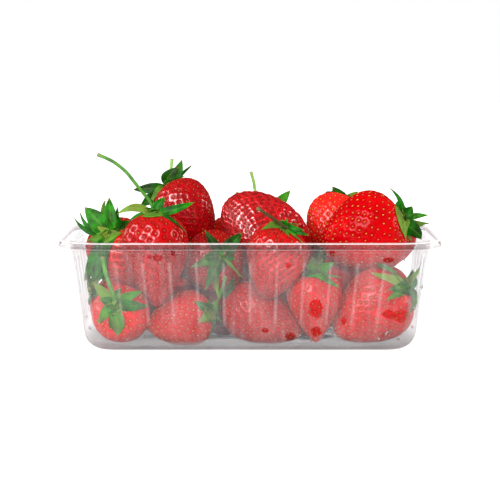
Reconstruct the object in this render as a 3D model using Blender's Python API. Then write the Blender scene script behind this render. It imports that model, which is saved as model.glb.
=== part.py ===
# Punnet of strawberries: a clear thermoformed tray, and the heap of berries that stands in it.
# Sizes and places are in millimetres until a mesh is written, which is in metres.
# +X runs along the tray, +Y towards its back and +Z up; the origin is under the middle of its base.

import math

import bmesh
import bpy
import numpy as np

MM = 0.001

# Tray: the rim
RIM_LENGTH = 190.0
RIM_WIDTH = 118.0
RIM_HEIGHT = 55.0
RIM_CORNER = 24.0
FLANGE = 6.0  # flat top of the rim, from the lip to the mouth
LIP_DROP = 3.1  # the rim's edge turns down this far
LIP_FLARE = 0.5

# Tray: the wall and the base
SHEET = 0.6  # thickness of the plastic
WALL_HALF_LENGTH = 82.1  # outer face of the end wall, carried down to Z = 0
WALL_LEAN = 0.129  # the wall moves out this much for each millimetre up
LENGTH_LESS_WIDTH = (RIM_LENGTH - RIM_WIDTH) / 2  # half length less half width, the same at every height
WALL_CORNER = 15.5
BASE_ROUND = 10.0  # radius between the base and the wall
STEP_HEIGHT = 49.6  # a small step runs round the wall under the rim
STEP_OUT = 0.6
PANEL_HALF_LENGTH = 63.0  # middle of the base, raised so that a foot band is left round it
PANEL_RAISE = 0.6
PANEL_CORNER = 8.0
PANEL_SLOPE = 1.0

# Tray: the upright flutes in the wall
FLUTE_DEPTH = 0.9
FLUTE_WIDTH = 3.2
FLUTE_PITCH = 12.6
FLUTES_LONG_SIDE = 11
FLUTES_SHORT_SIDE = 5
FLUTE_FOOT = 12.0
FLUTE_HEAD = 47.0
FLUTE_RUN_OUT = 3.0
CORNER_STEPS = 6
BASE_STEPS = 3

# Berries: name, place of the middle, way to the tip, length, width, taper, breadth, roll in degrees.
# Taper moves the widest ring towards the calyx, and breadth widens a berry across.
SHOWN_BERRIES = (
    ("long_left", (-47, -30, 42.3), (0.05, -0.14, -1.0), 47.5, 33.5, 0.45, 1.0, 0),
    ("top_left", (-32.2, 15, 63.3), (0.55, -0.35, -0.65), 38, 31, 0.35, 1.0, 0),
    ("far_left", (-60.6, -12, 42), (0.56, -0.20, -0.80), 32, 26, 0.48, 1.0, 0),
    ("broad_middle", (8.8, 2, 52.6), (-0.10, -0.85, -0.40), 41, 34, 0.30, 1.55, -38),
    ("front_middle", (12.4, -36, 43.2), (-0.24, -0.10, -0.92), 37, 30.5, 0.36, 1.0, 0),
    ("back_right", (43.5, 22, 56.4), (-0.35, -0.55, -0.60), 34, 30, 0.35, 1.0, 0),
    ("large_right", (56.6, -12, 54.6), (-0.93, -0.15, -0.33), 45, 41.5, 0.36, 1.0, 0),
    ("behind_wall", (-19.5, -14, 40.5), (-0.30, 0.80, -0.30), 34, 32, 0.35, 1.0, 0),
    ("low_left", (-61.8, -32, 15.6), (0.23, 0.78, -0.55), 31, 29, 0.25, 1.0, 0),
    ("low_second", (-36.8, -30, 14.4), (-0.85, -0.35, -0.15), 35, 28, 0.35, 1.0, 0),
    ("low_middle", (6.8, -24, 12.4), (0.85, -0.35, -0.33), 45, 30, 0.36, 1.0, 0),
    ("low_pointed", (32.5, -33, 19.5), (0.03, -0.20, -0.95), 35, 28, 0.58, 1.0, 0),
    ("low_right", (59.2, -25, 18.4), (-0.75, -0.30, -0.45), 43.5, 37.5, 0.35, 1.0, 0),
)
PACKED_BERRIES = (
    ("end_left", (-64, 4, 17), (0.6, 0.3, -0.4), 36, 31, 0.35, 1.0, 0),
    ("under_left", (-31, 3, 17), (-0.2, 0.9, -0.2), 35, 31, 0.35, 1.0, 0),
    ("under_middle", (2, 6, 17), (0.9, -0.2, -0.1), 38, 31, 0.40, 1.0, 0),
    ("under_right", (34, 3, 17), (0.1, -0.8, -0.5), 36, 31, 0.35, 1.0, 0),
    ("end_right", (66, 10, 17), (-0.5, 0.6, -0.3), 36, 31, 0.35, 1.0, 0),
    ("back_corner_left", (-60, 33, 18), (0.3, -0.2, -0.9), 36, 31, 0.35, 1.0, 0),
    ("back_low_left", (-27, 33, 17), (-0.9, 0.3, -0.2), 38, 31, 0.40, 1.0, 0),
    ("back_low_middle", (6, 34, 17), (0.2, 0.3, -0.9), 35, 32, 0.40, 1.0, 0),
    ("back_low_right", (38, 33, 17), (0.9, 0.2, -0.3), 38, 31, 0.35, 1.0, 0),
    ("back_corner_right", (68, 36, 18), (-0.2, 0.1, -0.9), 34, 30, 0.35, 1.0, 0),
    ("upper_end_left", (-64, 24, 47), (0.5, -0.4, -0.6), 38, 32, 0.35, 1.0, 0),
    ("upper_back_left", (-38, 38, 46), (0.3, 0.6, -0.7), 36, 31, 0.35, 1.0, 0),
    ("upper_back_middle", (-10, 36, 46), (-0.5, 0.5, -0.6), 38, 32, 0.40, 1.0, 0),
    ("upper_back_right", (24, 38, 46), (0.2, 0.7, -0.6), 36, 31, 0.40, 1.0, 0),
    ("upper_end_right", (66, 26, 46), (-0.4, 0.5, -0.7), 38, 33, 0.35, 1.0, 0),
    ("inner_right", (35, 0, 39), (0.3, 0.3, -0.9), 31, 26, 0.35, 1.0, 0),
)

# These lie inside the heap, where little of them shows.
INNER_BERRIES = ("under_left", "under_middle", "under_right", "inner_right")

# Settling: the berries are pressed apart until they only touch.
SETTLE_ROUNDS = 400
BALL_ENDS = (-0.30, 0.34)  # the first and last ball in a berry, as shares of its length from its middle
BALLS_ALONG = 5
SETTLE_STILL = 60  # rounds at the end in which nothing sinks any more
SINK = 0.06  # a packed berry sinks this far in a round
SHOWN_GIVE = 0.45  # share of a push that moves a shown berry
SHOWN_RETURN = 0.02  # share of the way back to its place that it takes in a round
BERRY_TO_WALL = 2.0  # from the wall's outer face: the sheet, a flute and some air
BERRY_TO_FLOOR = 1.6
BERRY_CORNER = 15.0
WALL_ENDS = 60.0  # a ball whose middle is higher than this passes over the rim

# Mesh of a berry, a leaf and a stem
SHOWN_MESH = (12, 7)  # sides and rings
PACKED_MESH = (10, 6)
INNER_MESH = (8, 5)
CALYX_UNDER = 0.6  # leaves and stems spring from this far under the skin
LEAF_STATIONS = (0.0, 0.5, 1.0)
LEAF_THICK = 0.9
LEAF_FOLD = 0.22
LEAF_ARCH = 0.16
LEAF_WAVE = 0.5
LEAF_LIFT = 0.8  # a leaf lies this far off a berry
LEAF_TO_WALL = 2.4
LEAF_TO_FLOOR = 2.1
STEM_SIDES = 6
PIN_SIDES = 4
SLIVERS_OUT = 0.76  # share of the triangles that stays once the slivers left by fusing are taken out

# Leaves of the shown berries: place of the tip, width, turn of its face away from the front in degrees,
# and how far it bows to its right, as a share of its length.
LEAVES = {
    "long_left": (
        ((-27.5, -30, 73), 5.0, 15, 0.1),
        ((-42.5, -26, 75), 4.5, 10, 0),
        ((-66, -28, 67), 3.6, 0, 0.16),
        ((-61, -26, 62.5), 5.0, 20, 0.05),
        ((-51, -34, 66), 4.5, 0, 0),
    ),
    "top_left": (
        ((-35.5, 20, 91), 6.5, 0, 0.08),
        ((-37, 18, 87.5), 7.0, 0, -0.16),
        ((-61, 24, 75), 5.5, 0, 0),
        ((-57.5, 22, 66.5), 5.5, 0, 0),
        ((-51.5, 18, 70.5), 5.0, 0, 0),
    ),
    "far_left": (
        ((-72, -2, 73), 6.0, 0, 0),
        ((-84.5, -2, 68), 9.0, 0, 0),
        ((-67.5, 4, 62.5), 5.0, 0, 0),
        ((-62, 6, 59.5), 6.0, 0, 0),
        ((-77.5, -10, 59), 4.0, 0, 0),
        ((-65, -16, 56), 5.5, 0, 0),
        ((-83, -8, 51.5), 5.0, 0, 0),
        ((-84, -14, 31.5), 9.0, 0, 0),
    ),
    "broad_middle": (
        ((21, 20, 75), 5.5, 15, 0.05),
        ((-7.5, 24, 74), 3.5, 0, 0),
        ((2, 34, 67), 6.0, 0, 0),
        ((20, 33, 61), 6.0, 0, 0),
    ),
    "front_middle": (
        ((6, -42, 61), 4.0, 0, 0.14),
        ((18, -40, 65.5), 4.0, 0, 0),
        ((26.5, -42, 59.5), 4.5, 0, 0),
        ((29, -42, 57.5), 3.4, 0, 0),
        ((18, -46, 56.5), 4.5, 0, 0),
    ),
    "back_right": (
        ((43.5, 28, 76.5), 6.0, 0, 0),
        ((57, 32, 73.5), 3.6, 0, 0),
        ((46, 42, 68), 5.0, 0, 0),
    ),
    "large_right": (
        ((77.5, -2, 69.5), 5.0, 0, 0),
        ((82.5, -8, 69), 7.0, 0, 0.05),
        ((88.5, -12, 52.5), 6.5, 0, 0),
        ((77, -20, 55.5), 7.0, 0, 0),
        ((74.5, -14, 67.5), 4.5, 0, 0),
    ),
    "behind_wall": (
        ((-22.5, -30, 59), 4.8, 0, 0),
        ((-4, -28, 57.5), 7.5, 0, 0),
        ((-29.5, -36, 41), 4.5, 0, 0),
        ((-23.5, -36, 46), 6.5, 0, 0),
        ((-15.5, -40, 26), 3.4, 0, 0.1),
        ((-22, -42, 30.5), 6.0, 0, 0),
    ),
    "low_left": (
        ((-76.5, -46, 14), 6.0, 0, 0),
        ((-68.5, -47, 15.5), 5.5, 0, 0),
        ((-65, -47, 11.5), 6.5, 0, 0),
        ((-50, -44, 23), 6.0, 0, 0.05),
        ((-53, -42, 30), 5.0, 0, 0),
        ((-77.5, -42, 34.5), 4.5, 0, 0),
        ((-74, -45, 26.5), 4.0, 0, 0),
    ),
    "low_second": (
        ((-27.5, -40, 25), 7.5, 0, 0),
        ((-26, -40, 14.5), 7.5, 0, 0),
        ((-16, -34, 24.5), 5.0, 0, 0),
        ((-14, -30, 13), 4.0, 0, 0),
    ),
    "low_middle": (
        ((-7.5, -30, 36), 4.5, 0, 0),
        ((-14.5, -8, 27), 4.5, 0, 0),
    ),
    "low_pointed": (
        ((31, -34, 46), 6.0, 0, 0),
        ((36, -33, 45), 4.0, 0, 0),
        ((42, -33, 43), 5.0, 0, 0),
        ((44, -44, 32), 3.6, 0, 0),
        ((26, -38, 37.5), 4.0, 0, 0),
    ),
    "low_right": (
        ((62, -24, 44.5), 5.0, 0, 0),
        ((60, -36, 38.5), 7.0, 0, 0),
        ((68, -42, 30.5), 6.5, 0, 0),
        ((79.5, -36, 33), 6.5, 0, 0),
        ((67, -44, 25.5), 5.0, 0, 0),
        ((82, -20, 38), 6.0, 0, 0.2),
        ((77, -38, 16.5), 5.0, 0, -0.3),
        ((85, -30, 26), 5.0, 0, 0),
    ),
}

FRONT = np.array((0.0, -1.0, 0.15))

# Stems that show: places along each, from near the calyx to the cut end, and the radius.
STEMS = {
    "long_left": (
        ((-49.5, -28, 72.5), (-57, -27, 82), (-62, -26, 88), (-68.5, -25, 93), (-76, -24, 96.5)),
        0.85,
    ),
    "top_left": (((-42.5, 23, 82), (-41.5, 24, 86), (-41, 26, 91)), 0.8),
    "broad_middle": (((3.4, 24, 73), (2, 25, 79), (0.5, 25, 84.5)), 0.8),
    "front_middle": (((16.5, -36, 62.8), (11.3, -38, 66.2), (3.4, -40, 71.4)), 0.8),
    "low_left": (((-67.5, -44, 29), (-69.3, -43, 34), (-71.2, -41, 39.8), (-72.8, -38, 46.5)), 1.1),
    "low_second": (((-16, -30, 24), (-13.5, -30, 31), (-12, -30, 36)), 0.9),
}

# The core that the berries are fused to, and the pins that join a berry to the one it lies on
CORE_HALF_LENGTH = 58.0
CORE_HALF_WIDTH = 22.0
CORE_CUT = 10.0  # its upright edges are cut back this far
CORE_FOOT = 7.0
CORE_TOP = 25.0
PIN_RADIUS = 3.0


def clear_scene():
    """Take every object out of the scene."""
    for obj in list(bpy.data.objects):
        bpy.data.objects.remove(obj, do_unlink=True)


def material(name, colour, roughness, transmission=0.0, ior=1.5):
    """A plain Principled material."""
    mat = bpy.data.materials.new(name)
    mat.use_nodes = True
    shader = mat.node_tree.nodes["Principled BSDF"]
    shader.inputs["Base Color"].default_value = (*colour, 1.0)
    shader.inputs["Roughness"].default_value = roughness
    shader.inputs["Metallic"].default_value = 0.0
    shader.inputs["Transmission Weight"].default_value = transmission
    shader.inputs["IOR"].default_value = ior
    mat.diffuse_color = (*colour, 1.0)
    return mat


def add_mesh(name, points, faces, mat, collection=None):
    """Write points in millimetres and their faces as an object in metres, with its faces out."""
    mesh = bpy.data.meshes.new(name)
    mesh.from_pydata([tuple(p) for p in np.asarray(points) * MM], [], faces)
    bm = bmesh.new()
    bm.from_mesh(mesh)
    bmesh.ops.recalc_face_normals(bm, faces=bm.faces)
    bm.to_mesh(mesh)
    bm.free()
    mesh.materials.append(mat)
    obj = bpy.data.objects.new(name, mesh)
    (collection or bpy.context.scene.collection).objects.link(obj)
    return obj


def flute_stops(count):
    """Where the points of one straight side lie, from -1 to 1, and how deep each sits in a flute."""
    span = count * FLUTE_PITCH
    stops = []
    for k in range(count):
        middle = (k - (count - 1) / 2) * FLUTE_PITCH
        for offset, depth in ((-FLUTE_WIDTH / 2, 0.0), (0.0, 1.0), (FLUTE_WIDTH / 2, 0.0)):
            stops.append((2 * (middle + offset) / span, depth))
    return stops


def ring(half_length, corner, height, flute=None):
    """Points round the tray at one height, as four straight sides and the round corner after each.

    Only a fluted ring, whose flute depth is given, has points along its sides.
    """
    half_width = half_length - LENGTH_LESS_WIDTH
    straight_x = half_length - corner
    straight_y = half_width - corner
    long_side = () if flute is None else flute_stops(FLUTES_LONG_SIDE)
    short_side = () if flute is None else flute_stops(FLUTES_SHORT_SIDE)
    sides = (
        ((1, 0), (0, 1), straight_y, half_length, short_side, (straight_x, straight_y)),
        ((0, 1), (-1, 0), straight_x, half_width, long_side, (-straight_x, straight_y)),
        ((-1, 0), (0, -1), straight_y, half_length, short_side, (-straight_x, -straight_y)),
        ((0, -1), (1, 0), straight_x, half_width, long_side, (straight_x, -straight_y)),
    )
    runs = []
    for quarter, (out, along, reach, distance, stops, centre) in enumerate(sides):
        side = []
        for stop, depth in stops:
            away = distance - depth * flute
            x = out[0] * away + along[0] * stop * reach
            y = out[1] * away + along[1] * stop * reach
            side.append((x, y, height))
        turn = []
        for step in range(CORNER_STEPS + 1):
            angle = (quarter + step / CORNER_STEPS) * math.pi / 2
            turn.append((centre[0] + corner * math.cos(angle), centre[1] + corner * math.sin(angle), height))
        runs.append((side, turn))
    return runs


def wall_out(height):
    """Half length of the wall's outer face at a height."""
    return WALL_HALF_LENGTH + WALL_LEAN * height


def tray_section():
    """The tray's section from under its middle, up the outside and back down the inside.

    Each row is a half length, a corner radius and a height, and a flute depth where the ring is fluted.
    """
    lean = math.atan(WALL_LEAN)
    round_middle = wall_out(BASE_ROUND) - BASE_ROUND / math.cos(lean)
    rows = [
        (PANEL_HALF_LENGTH, PANEL_CORNER, PANEL_RAISE),
        (PANEL_HALF_LENGTH + PANEL_SLOPE, PANEL_CORNER + PANEL_SLOPE, 0.0),
    ]

    def round_rows(radius):
        out = []
        for step in range(BASE_STEPS + 1):
            angle = step / BASE_STEPS * (math.pi / 2 - lean)
            out_by = radius * math.sin(angle)
            height = BASE_ROUND - radius * math.cos(angle)
            out.append((round_middle + out_by, WALL_CORNER - BASE_ROUND + out_by, height))
        return out

    def wall_rows(inset):
        heights = (FLUTE_FOOT, FLUTE_FOOT + FLUTE_RUN_OUT, FLUTE_HEAD - FLUTE_RUN_OUT, FLUTE_HEAD)
        depths = (0.0, FLUTE_DEPTH, FLUTE_DEPTH, 0.0)
        out = [(wall_out(z) - inset, WALL_CORNER - inset, z, d) for z, d in zip(heights, depths)]
        step_foot = wall_out(STEP_HEIGHT) - inset
        corner = WALL_CORNER - inset
        out.append((step_foot, corner, STEP_HEIGHT))
        out.append((step_foot + STEP_OUT, corner + STEP_OUT, STEP_HEIGHT + STEP_OUT))
        return out

    mouth = RIM_LENGTH / 2 - FLANGE
    edge = RIM_LENGTH / 2
    rows += round_rows(BASE_ROUND)
    rows += wall_rows(0.0)
    rows += [
        (mouth + SHEET, RIM_CORNER - FLANGE + SHEET, RIM_HEIGHT - SHEET),
        (edge - SHEET - LIP_FLARE, RIM_CORNER - SHEET - LIP_FLARE, RIM_HEIGHT - SHEET),
        (edge - SHEET, RIM_CORNER - SHEET, RIM_HEIGHT - LIP_DROP),
        (edge, RIM_CORNER, RIM_HEIGHT - LIP_DROP),
        (edge - LIP_FLARE, RIM_CORNER - LIP_FLARE, RIM_HEIGHT),
        (mouth, RIM_CORNER - FLANGE, RIM_HEIGHT),
    ]
    rows += wall_rows(SHEET)[::-1]
    rows += round_rows(BASE_ROUND - SHEET)[::-1]
    rows += [
        (PANEL_HALF_LENGTH + PANEL_SLOPE, PANEL_CORNER + PANEL_SLOPE, SHEET),
        (PANEL_HALF_LENGTH, PANEL_CORNER, PANEL_RAISE + SHEET),
    ]
    return rows


def numbered(runs, points):
    """Add a ring's points to the list and return their numbers, kept as sides and corners."""
    numbers = []
    for side, turn in runs:
        start = len(points)
        points += side + turn
        middle = start + len(side)
        numbers.append((list(range(start, middle)), list(range(middle, middle + len(turn)))))
    return numbers


def strip(low, high):
    """Faces between two rings: fours where both have the same points, else one face for a side."""
    faces = []
    for quarter in range(4):
        (low_side, low_turn), (high_side, high_turn) = low[quarter], high[quarter]
        low_run = low[quarter - 1][1][-1:] + low_side + low_turn[:1]
        high_run = high[quarter - 1][1][-1:] + high_side + high_turn[:1]
        if len(low_run) == len(high_run):
            pairs = list(zip(low_run, high_run))
        else:
            faces.append(tuple(low_run + high_run[::-1]))
            pairs = []
        for run in (pairs, list(zip(low_turn, high_turn))):
            faces += [(a, b, d, c) for (a, c), (b, d) in zip(run, run[1:])]
    return faces


def make_tray():
    """The tray: one ring of points for each row of its section, and a flat cap at both ends."""
    points = []
    rings = [numbered(ring(*row), points) for row in tray_section()]
    faces = []
    for low, high in zip(rings, rings[1:]):
        faces += strip(low, high)
    for end in (rings[0], rings[-1]):
        faces.append(tuple(n for side, turn in end for n in side + turn))
    plastic = material("clear_plastic", (0.93, 0.95, 0.96), 0.08, transmission=0.9, ior=1.57)
    return add_mesh("tray", points, faces, plastic)


def berry_frame(way, roll):
    """Three columns: across, across and towards the tip."""
    axis = np.array(way, float) / np.linalg.norm(way)
    up = np.array((0.0, 0.0, 1.0)) if abs(axis[2]) < 0.95 else np.array((0.0, 1.0, 0.0))
    x = np.cross(up, axis)
    x /= np.linalg.norm(x)
    y = np.cross(axis, x)
    turn = math.radians(roll)
    turned_x = x * math.cos(turn) + y * math.sin(turn)
    turned_y = y * math.cos(turn) - x * math.sin(turn)
    return np.stack((turned_x, turned_y, axis), 1)


def half_width(u, width, taper):
    """Half width of a berry where u is the cosine of the angle from its calyx end."""
    widest = (math.sqrt(1 + 8 * taper * taper) - 1) / (4 * taper)
    top = math.sqrt(1 - widest * widest) * (1 + taper * widest)
    return width / 2 * np.sqrt(np.clip(1 - u * u, 0, 1)) * (1 + taper * u) / top


def balls_in(length, width, taper, breadth):
    """Balls that fill a berry: middles along its axis, and side by side in a broad one, and radii."""
    u = np.cos(np.linspace(0, math.pi, 60))
    r = half_width(u, width, taper)
    z = -length / 2 * u
    aside = (breadth - 1) * width / 2
    shifts = (0.0,) if aside < 1 else (-aside, 0.0, aside)
    middles = np.linspace(*BALL_ENDS, BALLS_ALONG) * length
    rows = [(s, 0.0, c, np.min(np.hypot(z - c, r))) for c in middles for s in shifts]
    return np.array(rows)


def from_tray(points, radii, clearance, floor):
    """How far each ball has to move to lie inside the tray."""
    half_x = wall_out(points[:, 2]) - clearance
    half_y = half_x - LENGTH_LESS_WIDTH
    q = np.stack((np.abs(points[:, 0]) - half_x, np.abs(points[:, 1]) - half_y), 1) + BERRY_CORNER
    outside = np.maximum(q, 0)
    reach = np.linalg.norm(outside, axis=1)
    flat = reach < 1e-9
    distance = np.where(flat, q.max(1), reach) - BERRY_CORNER
    way = np.where(flat[:, None], np.eye(2)[q.argmax(1)], outside / np.maximum(reach, 1e-9)[:, None])
    over = np.where(points[:, 2] > WALL_ENDS, 0, np.maximum(distance + radii, 0))
    move = np.zeros_like(points)
    move[:, :2] = -way * np.sign(points[:, :2]) * over[:, None]
    move[:, 2] = np.maximum(floor + radii - points[:, 2], 0)
    return move


def kept_in_tray(points, clearance, floor):
    """The same points, those past the tray's walls or floor moved back in."""
    return points + from_tray(points, np.zeros(len(points)), clearance, floor)


def settle(berries, shown_count):
    """Press the berries apart and into the tray, and return where their middles come to rest."""
    start = np.array([b[1] for b in berries], float)
    frames = [berry_frame(b[2], b[7]) for b in berries]
    balls = [balls_in(*b[3:7]) for b in berries]
    owner = np.repeat(np.arange(len(berries)), [len(b) for b in balls])
    local = np.concatenate([b[:, :3] @ f.T for b, f in zip(balls, frames)])
    radii = np.concatenate([b[:, 3] for b in balls])
    apart = owner[:, None] != owner[None]
    member = (owner[None] == np.arange(len(berries))[:, None]).astype(float)
    shown = (np.arange(len(berries)) < shown_count)[:, None]
    give = np.where(shown, SHOWN_GIVE, 1.0) * 0.9
    places = start.copy()
    for turn in range(SETTLE_ROUNDS):
        points = places[owner] + local
        between = points[:, None] - points[None]
        distance = np.linalg.norm(between, axis=2) + 1e-9
        over = np.where(apart, np.maximum(radii[:, None] + radii[None] - distance, 0), 0)
        push = (between / distance[..., None] * over[..., None] * 0.5).sum(1)
        push += from_tray(points, radii, BERRY_TO_WALL, BERRY_TO_FLOOR)
        moved = (np.linalg.norm(push, axis=1) > 1e-6).astype(float)
        places = places + member @ push / np.maximum(member @ moved, 1)[:, None] * give
        places = places + np.where(shown, (start - places) * SHOWN_RETURN, 0)
        if turn < SETTLE_ROUNDS - SETTLE_STILL:
            places[:, 2] -= np.where(shown[:, 0], 0, SINK)
    return places, frames


def berry_mesh(sides, rings, middle, frame, length, width, taper, breadth):
    """Points and faces of one berry, with few sides and a point at both ends."""
    spread = 1 / math.sqrt(math.cos(math.pi / sides))
    angle = np.linspace(0, 2 * math.pi, sides, endpoint=False)
    points = [(0.0, 0.0, -length / 2)]
    for k in range(1, rings):
        u = math.cos(math.pi * k / rings)
        r = float(half_width(np.array(u), width, taper)) * spread
        turn = angle + (k % 2) * math.pi / sides
        points += [(r * math.cos(a) * breadth, r * math.sin(a), -length / 2 * u) for a in turn]
    points.append((0.0, 0.0, length / 2))
    placed = np.array(points) @ frame.T + middle
    return kept_in_tray(placed, BERRY_TO_WALL, BERRY_TO_FLOOR), capped_faces(rings - 1, sides)


def capped_faces(rings, sides):
    """Triangles between rings of points whose first and last points close the ends."""
    last = rings * sides + 1
    faces = []
    for k in range(sides):
        n = (k + 1) % sides
        faces.append((0, 1 + n, 1 + k))
        faces.append((last, last - sides + k, last - sides + n))
        for row in range(rings - 1):
            a, b = 1 + row * sides + k, 1 + row * sides + n
            faces += [(a, b, b + sides), (a, b + sides, a + sides)]
    return faces


def core_mesh():
    """A block with its upright edges cut off, inside the heap."""
    x, y, cut = CORE_HALF_LENGTH, CORE_HALF_WIDTH, CORE_CUT
    quarter = [(x, y - cut), (x - cut, y)]
    outline = quarter + [(-a, b) for a, b in quarter[::-1]]
    outline += [(-a, -b) for a, b in outline]
    count = len(outline)
    points = [(a, b, z) for z in (CORE_FOOT, CORE_TOP) for a, b in outline]
    faces = [tuple(range(count)), tuple(range(count, 2 * count))]
    faces += [(k, (k + 1) % count, (k + 1) % count + count, k + count) for k in range(count)]
    return points, faces


def off_berries(points, berries, places, frames, lift):
    """Move points that lie in a berry straight out from its axis, to its skin and a little more."""
    for berry, place, frame in zip(berries, places, frames):
        length, width, taper, breadth = berry[3:7]
        local = (points - place) @ frame
        u = np.clip(-2 * local[:, 2] / length, -0.98, 0.98)
        skin = half_width(u, width, taper) + lift
        reach = np.hypot(local[:, 0] / breadth, local[:, 1])
        inside = (reach < skin) & (np.abs(local[:, 2]) < length / 2) & (reach > 0.5)
        grow = np.where(inside, skin / np.maximum(reach, 0.5), 1.0)
        local[:, :2] *= grow[:, None]
        points = local @ frame.T + place
    return points


def leaf_middle(root, tip, width, turn, bow, phase):
    """The leaf's middle surface: three points across at each station, folded, arched, bowed and waved."""
    t = np.array(LEAF_STATIONS)[:, None]
    v = np.array((-1.0, 0.0, 1.0))[None]
    chord = tip - root
    level = np.cross(chord, FRONT)
    level /= np.linalg.norm(level)
    upright = np.cross(level, chord)
    upright /= np.linalg.norm(upright)
    lean = math.radians(turn)
    side = level * math.cos(lean) + upright * math.sin(lean)
    normal = upright * math.cos(lean) - level * math.sin(lean)
    reach = np.linalg.norm(chord)
    half = width / 2 * (0.16 + 0.84 * np.sin(math.pi * np.clip(t, 0.08, 0.93) ** 0.85))
    rise = LEAF_ARCH * reach * 4 * t * (1 - t) + LEAF_FOLD * half * np.abs(v)
    rise = rise + LEAF_WAVE * np.sin(7 * t + phase) * v * t
    aside = half * v + bow * reach * 4 * t * (1 - t)
    grid = root + chord * t[..., None] + side * aside[..., None] + normal * rise[..., None]
    return grid.reshape(-1, 3), normal


def leaf_mesh(points, normal):
    """A thin solid round a middle surface, its two faces split into triangles alike."""
    rows = len(LEAF_STATIONS)
    across = 3
    top = points + normal * LEAF_THICK / 2
    low = points - normal * LEAF_THICK / 2
    base = rows * across
    faces = []
    for r in range(rows - 1):
        for c in range(across - 1):
            a = r * across + c
            d = a + across
            for tri in ((a, a + 1, d + 1), (a, d + 1, d)):
                faces.append(tri)
                faces.append(tuple(base + i for i in tri[::-1]))
    edge = [c for c in range(across)]
    edge += [r * across + across - 1 for r in range(1, rows)]
    edge += [(rows - 1) * across + c for c in range(across - 2, -1, -1)]
    edge += [r * across for r in range(rows - 2, 0, -1)]
    for a, b in zip(edge, edge[1:] + edge[:1]):
        faces += [(a, base + a, base + b), (a, base + b, b)]
    return np.concatenate((top, low)), faces


def tube_mesh(path, radius, sides):
    """A tube with a few sides along a path, closed by a point at both ends."""
    path = np.array(path, float)
    ways = np.gradient(path, axis=0)
    ways /= np.linalg.norm(ways, axis=1)[:, None]
    angle = np.linspace(0, 2 * math.pi, sides, endpoint=False)
    points = [path[0] - ways[0] * radius * 0.4]
    for place, way in zip(path, ways):
        x = np.cross(way, (0.1, 1.0, 0.2))
        x /= np.linalg.norm(x)
        y = np.cross(way, x)
        points += [place + radius * (x * math.cos(a) + y * math.sin(a)) for a in angle]
    points.append(path[-1] + ways[-1] * radius * 0.1)
    return np.array(points), capped_faces(len(path), sides)


def pins(places):
    """The shortest set of lines that joins every berry to the rest, each from middle to middle."""
    joined = [0]
    lines = []
    while len(joined) < len(places):
        rest = [k for k in range(len(places)) if k not in joined]
        gaps = np.linalg.norm(places[joined][:, None] - places[rest][None], axis=2)
        near, far = np.unravel_index(gaps.argmin(), gaps.shape)
        lines.append((places[joined[near]], places[rest[far]]))
        joined.append(rest[far])
    return lines


def calyx_place(berry, place, frame):
    """The calyx end of a berry, a little under its skin."""
    return place - frame[:, 2] * (berry[3] / 2 - CALYX_UNDER)


def heap_parts(parts, fruit):
    """Every berry, leaf and stem of the heap as an object of its own in a collection."""
    berries = SHOWN_BERRIES + PACKED_BERRIES
    places, frames = settle(berries, len(SHOWN_BERRIES))
    for berry, place, frame in zip(berries, places, frames):
        name = berry[0]
        detail = SHOWN_MESH if berry in SHOWN_BERRIES else PACKED_MESH
        if name in INNER_BERRIES:
            detail = INNER_MESH
        add_mesh(name, *berry_mesh(*detail, place, frame, *berry[3:7]), fruit, parts)
        root = calyx_place(berry, place, frame)
        for k, (tip, width, turn, bow) in enumerate(LEAVES.get(name, ())):
            middle, normal = leaf_middle(root, np.array(tip, float), width, turn, bow, 2.4 * k)
            middle = off_berries(middle, berries, places, frames, LEAF_LIFT)
            middle = kept_in_tray(middle, LEAF_TO_WALL, LEAF_TO_FLOOR)
            add_mesh(f"{name}_leaf_{k}", *leaf_mesh(middle, normal), fruit, parts)
        if name in STEMS:
            path, radius = STEMS[name]
            add_mesh(f"{name}_stem", *tube_mesh((tuple(root),) + path, radius, STEM_SIDES), fruit, parts)
    for k, line in enumerate(pins(places)):
        add_mesh(f"pin_{k}", *tube_mesh(line, PIN_RADIUS, PIN_SIDES), fruit, parts)


def keep_outer_shell(mesh):
    """Drop the shells of sealed hollows and loose scraps: only the largest shell stays."""
    bm = bmesh.new()
    bm.from_mesh(mesh)
    bmesh.ops.triangulate(bm, faces=bm.faces)
    left = set(bm.faces)
    shells = []
    while left:
        first = left.pop()
        shell = [first]
        queue = [first]
        while queue:
            face = queue.pop()
            for edge in face.edges:
                for other in edge.link_faces:
                    if other in left:
                        left.remove(other)
                        shell.append(other)
                        queue.append(other)
        shells.append(shell)
    shells.sort(key=len)
    dropped = [face for shell in shells[:-1] for face in shell]
    bmesh.ops.delete(bm, geom=dropped, context="FACES")
    bm.to_mesh(mesh)
    bm.free()


def apply_modifiers(obj):
    """Make an object's mesh what its modifiers give, and take them off."""
    graph = bpy.context.evaluated_depsgraph_get()
    result = bpy.data.meshes.new_from_object(obj.evaluated_get(graph), depsgraph=graph)
    obj.modifiers.clear()
    obj.data = result


def make_heap():
    """The heap of berries: one solid, fused by one union and applied."""
    fruit = material("strawberry_flesh", (0.60, 0.02, 0.02), 0.35)
    parts = bpy.data.collections.new("heap_parts")
    bpy.context.scene.collection.children.link(parts)
    heap_parts(parts, fruit)
    heap = add_mesh("strawberries", *core_mesh(), fruit)
    union = heap.modifiers.new("fuse", "BOOLEAN")
    union.operation = "UNION"
    union.operand_type = "COLLECTION"
    union.solver = "MANIFOLD"
    union.collection = parts
    apply_modifiers(heap)
    for obj in list(parts.objects):
        bpy.data.objects.remove(obj, do_unlink=True)
    bpy.data.collections.remove(parts)
    keep_outer_shell(heap.data)
    thin = heap.modifiers.new("thin_out", "DECIMATE")
    thin.ratio = SLIVERS_OUT
    thin.use_collapse_triangulate = True
    apply_modifiers(heap)
    return heap


clear_scene()
make_tray()
make_heap()
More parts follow.
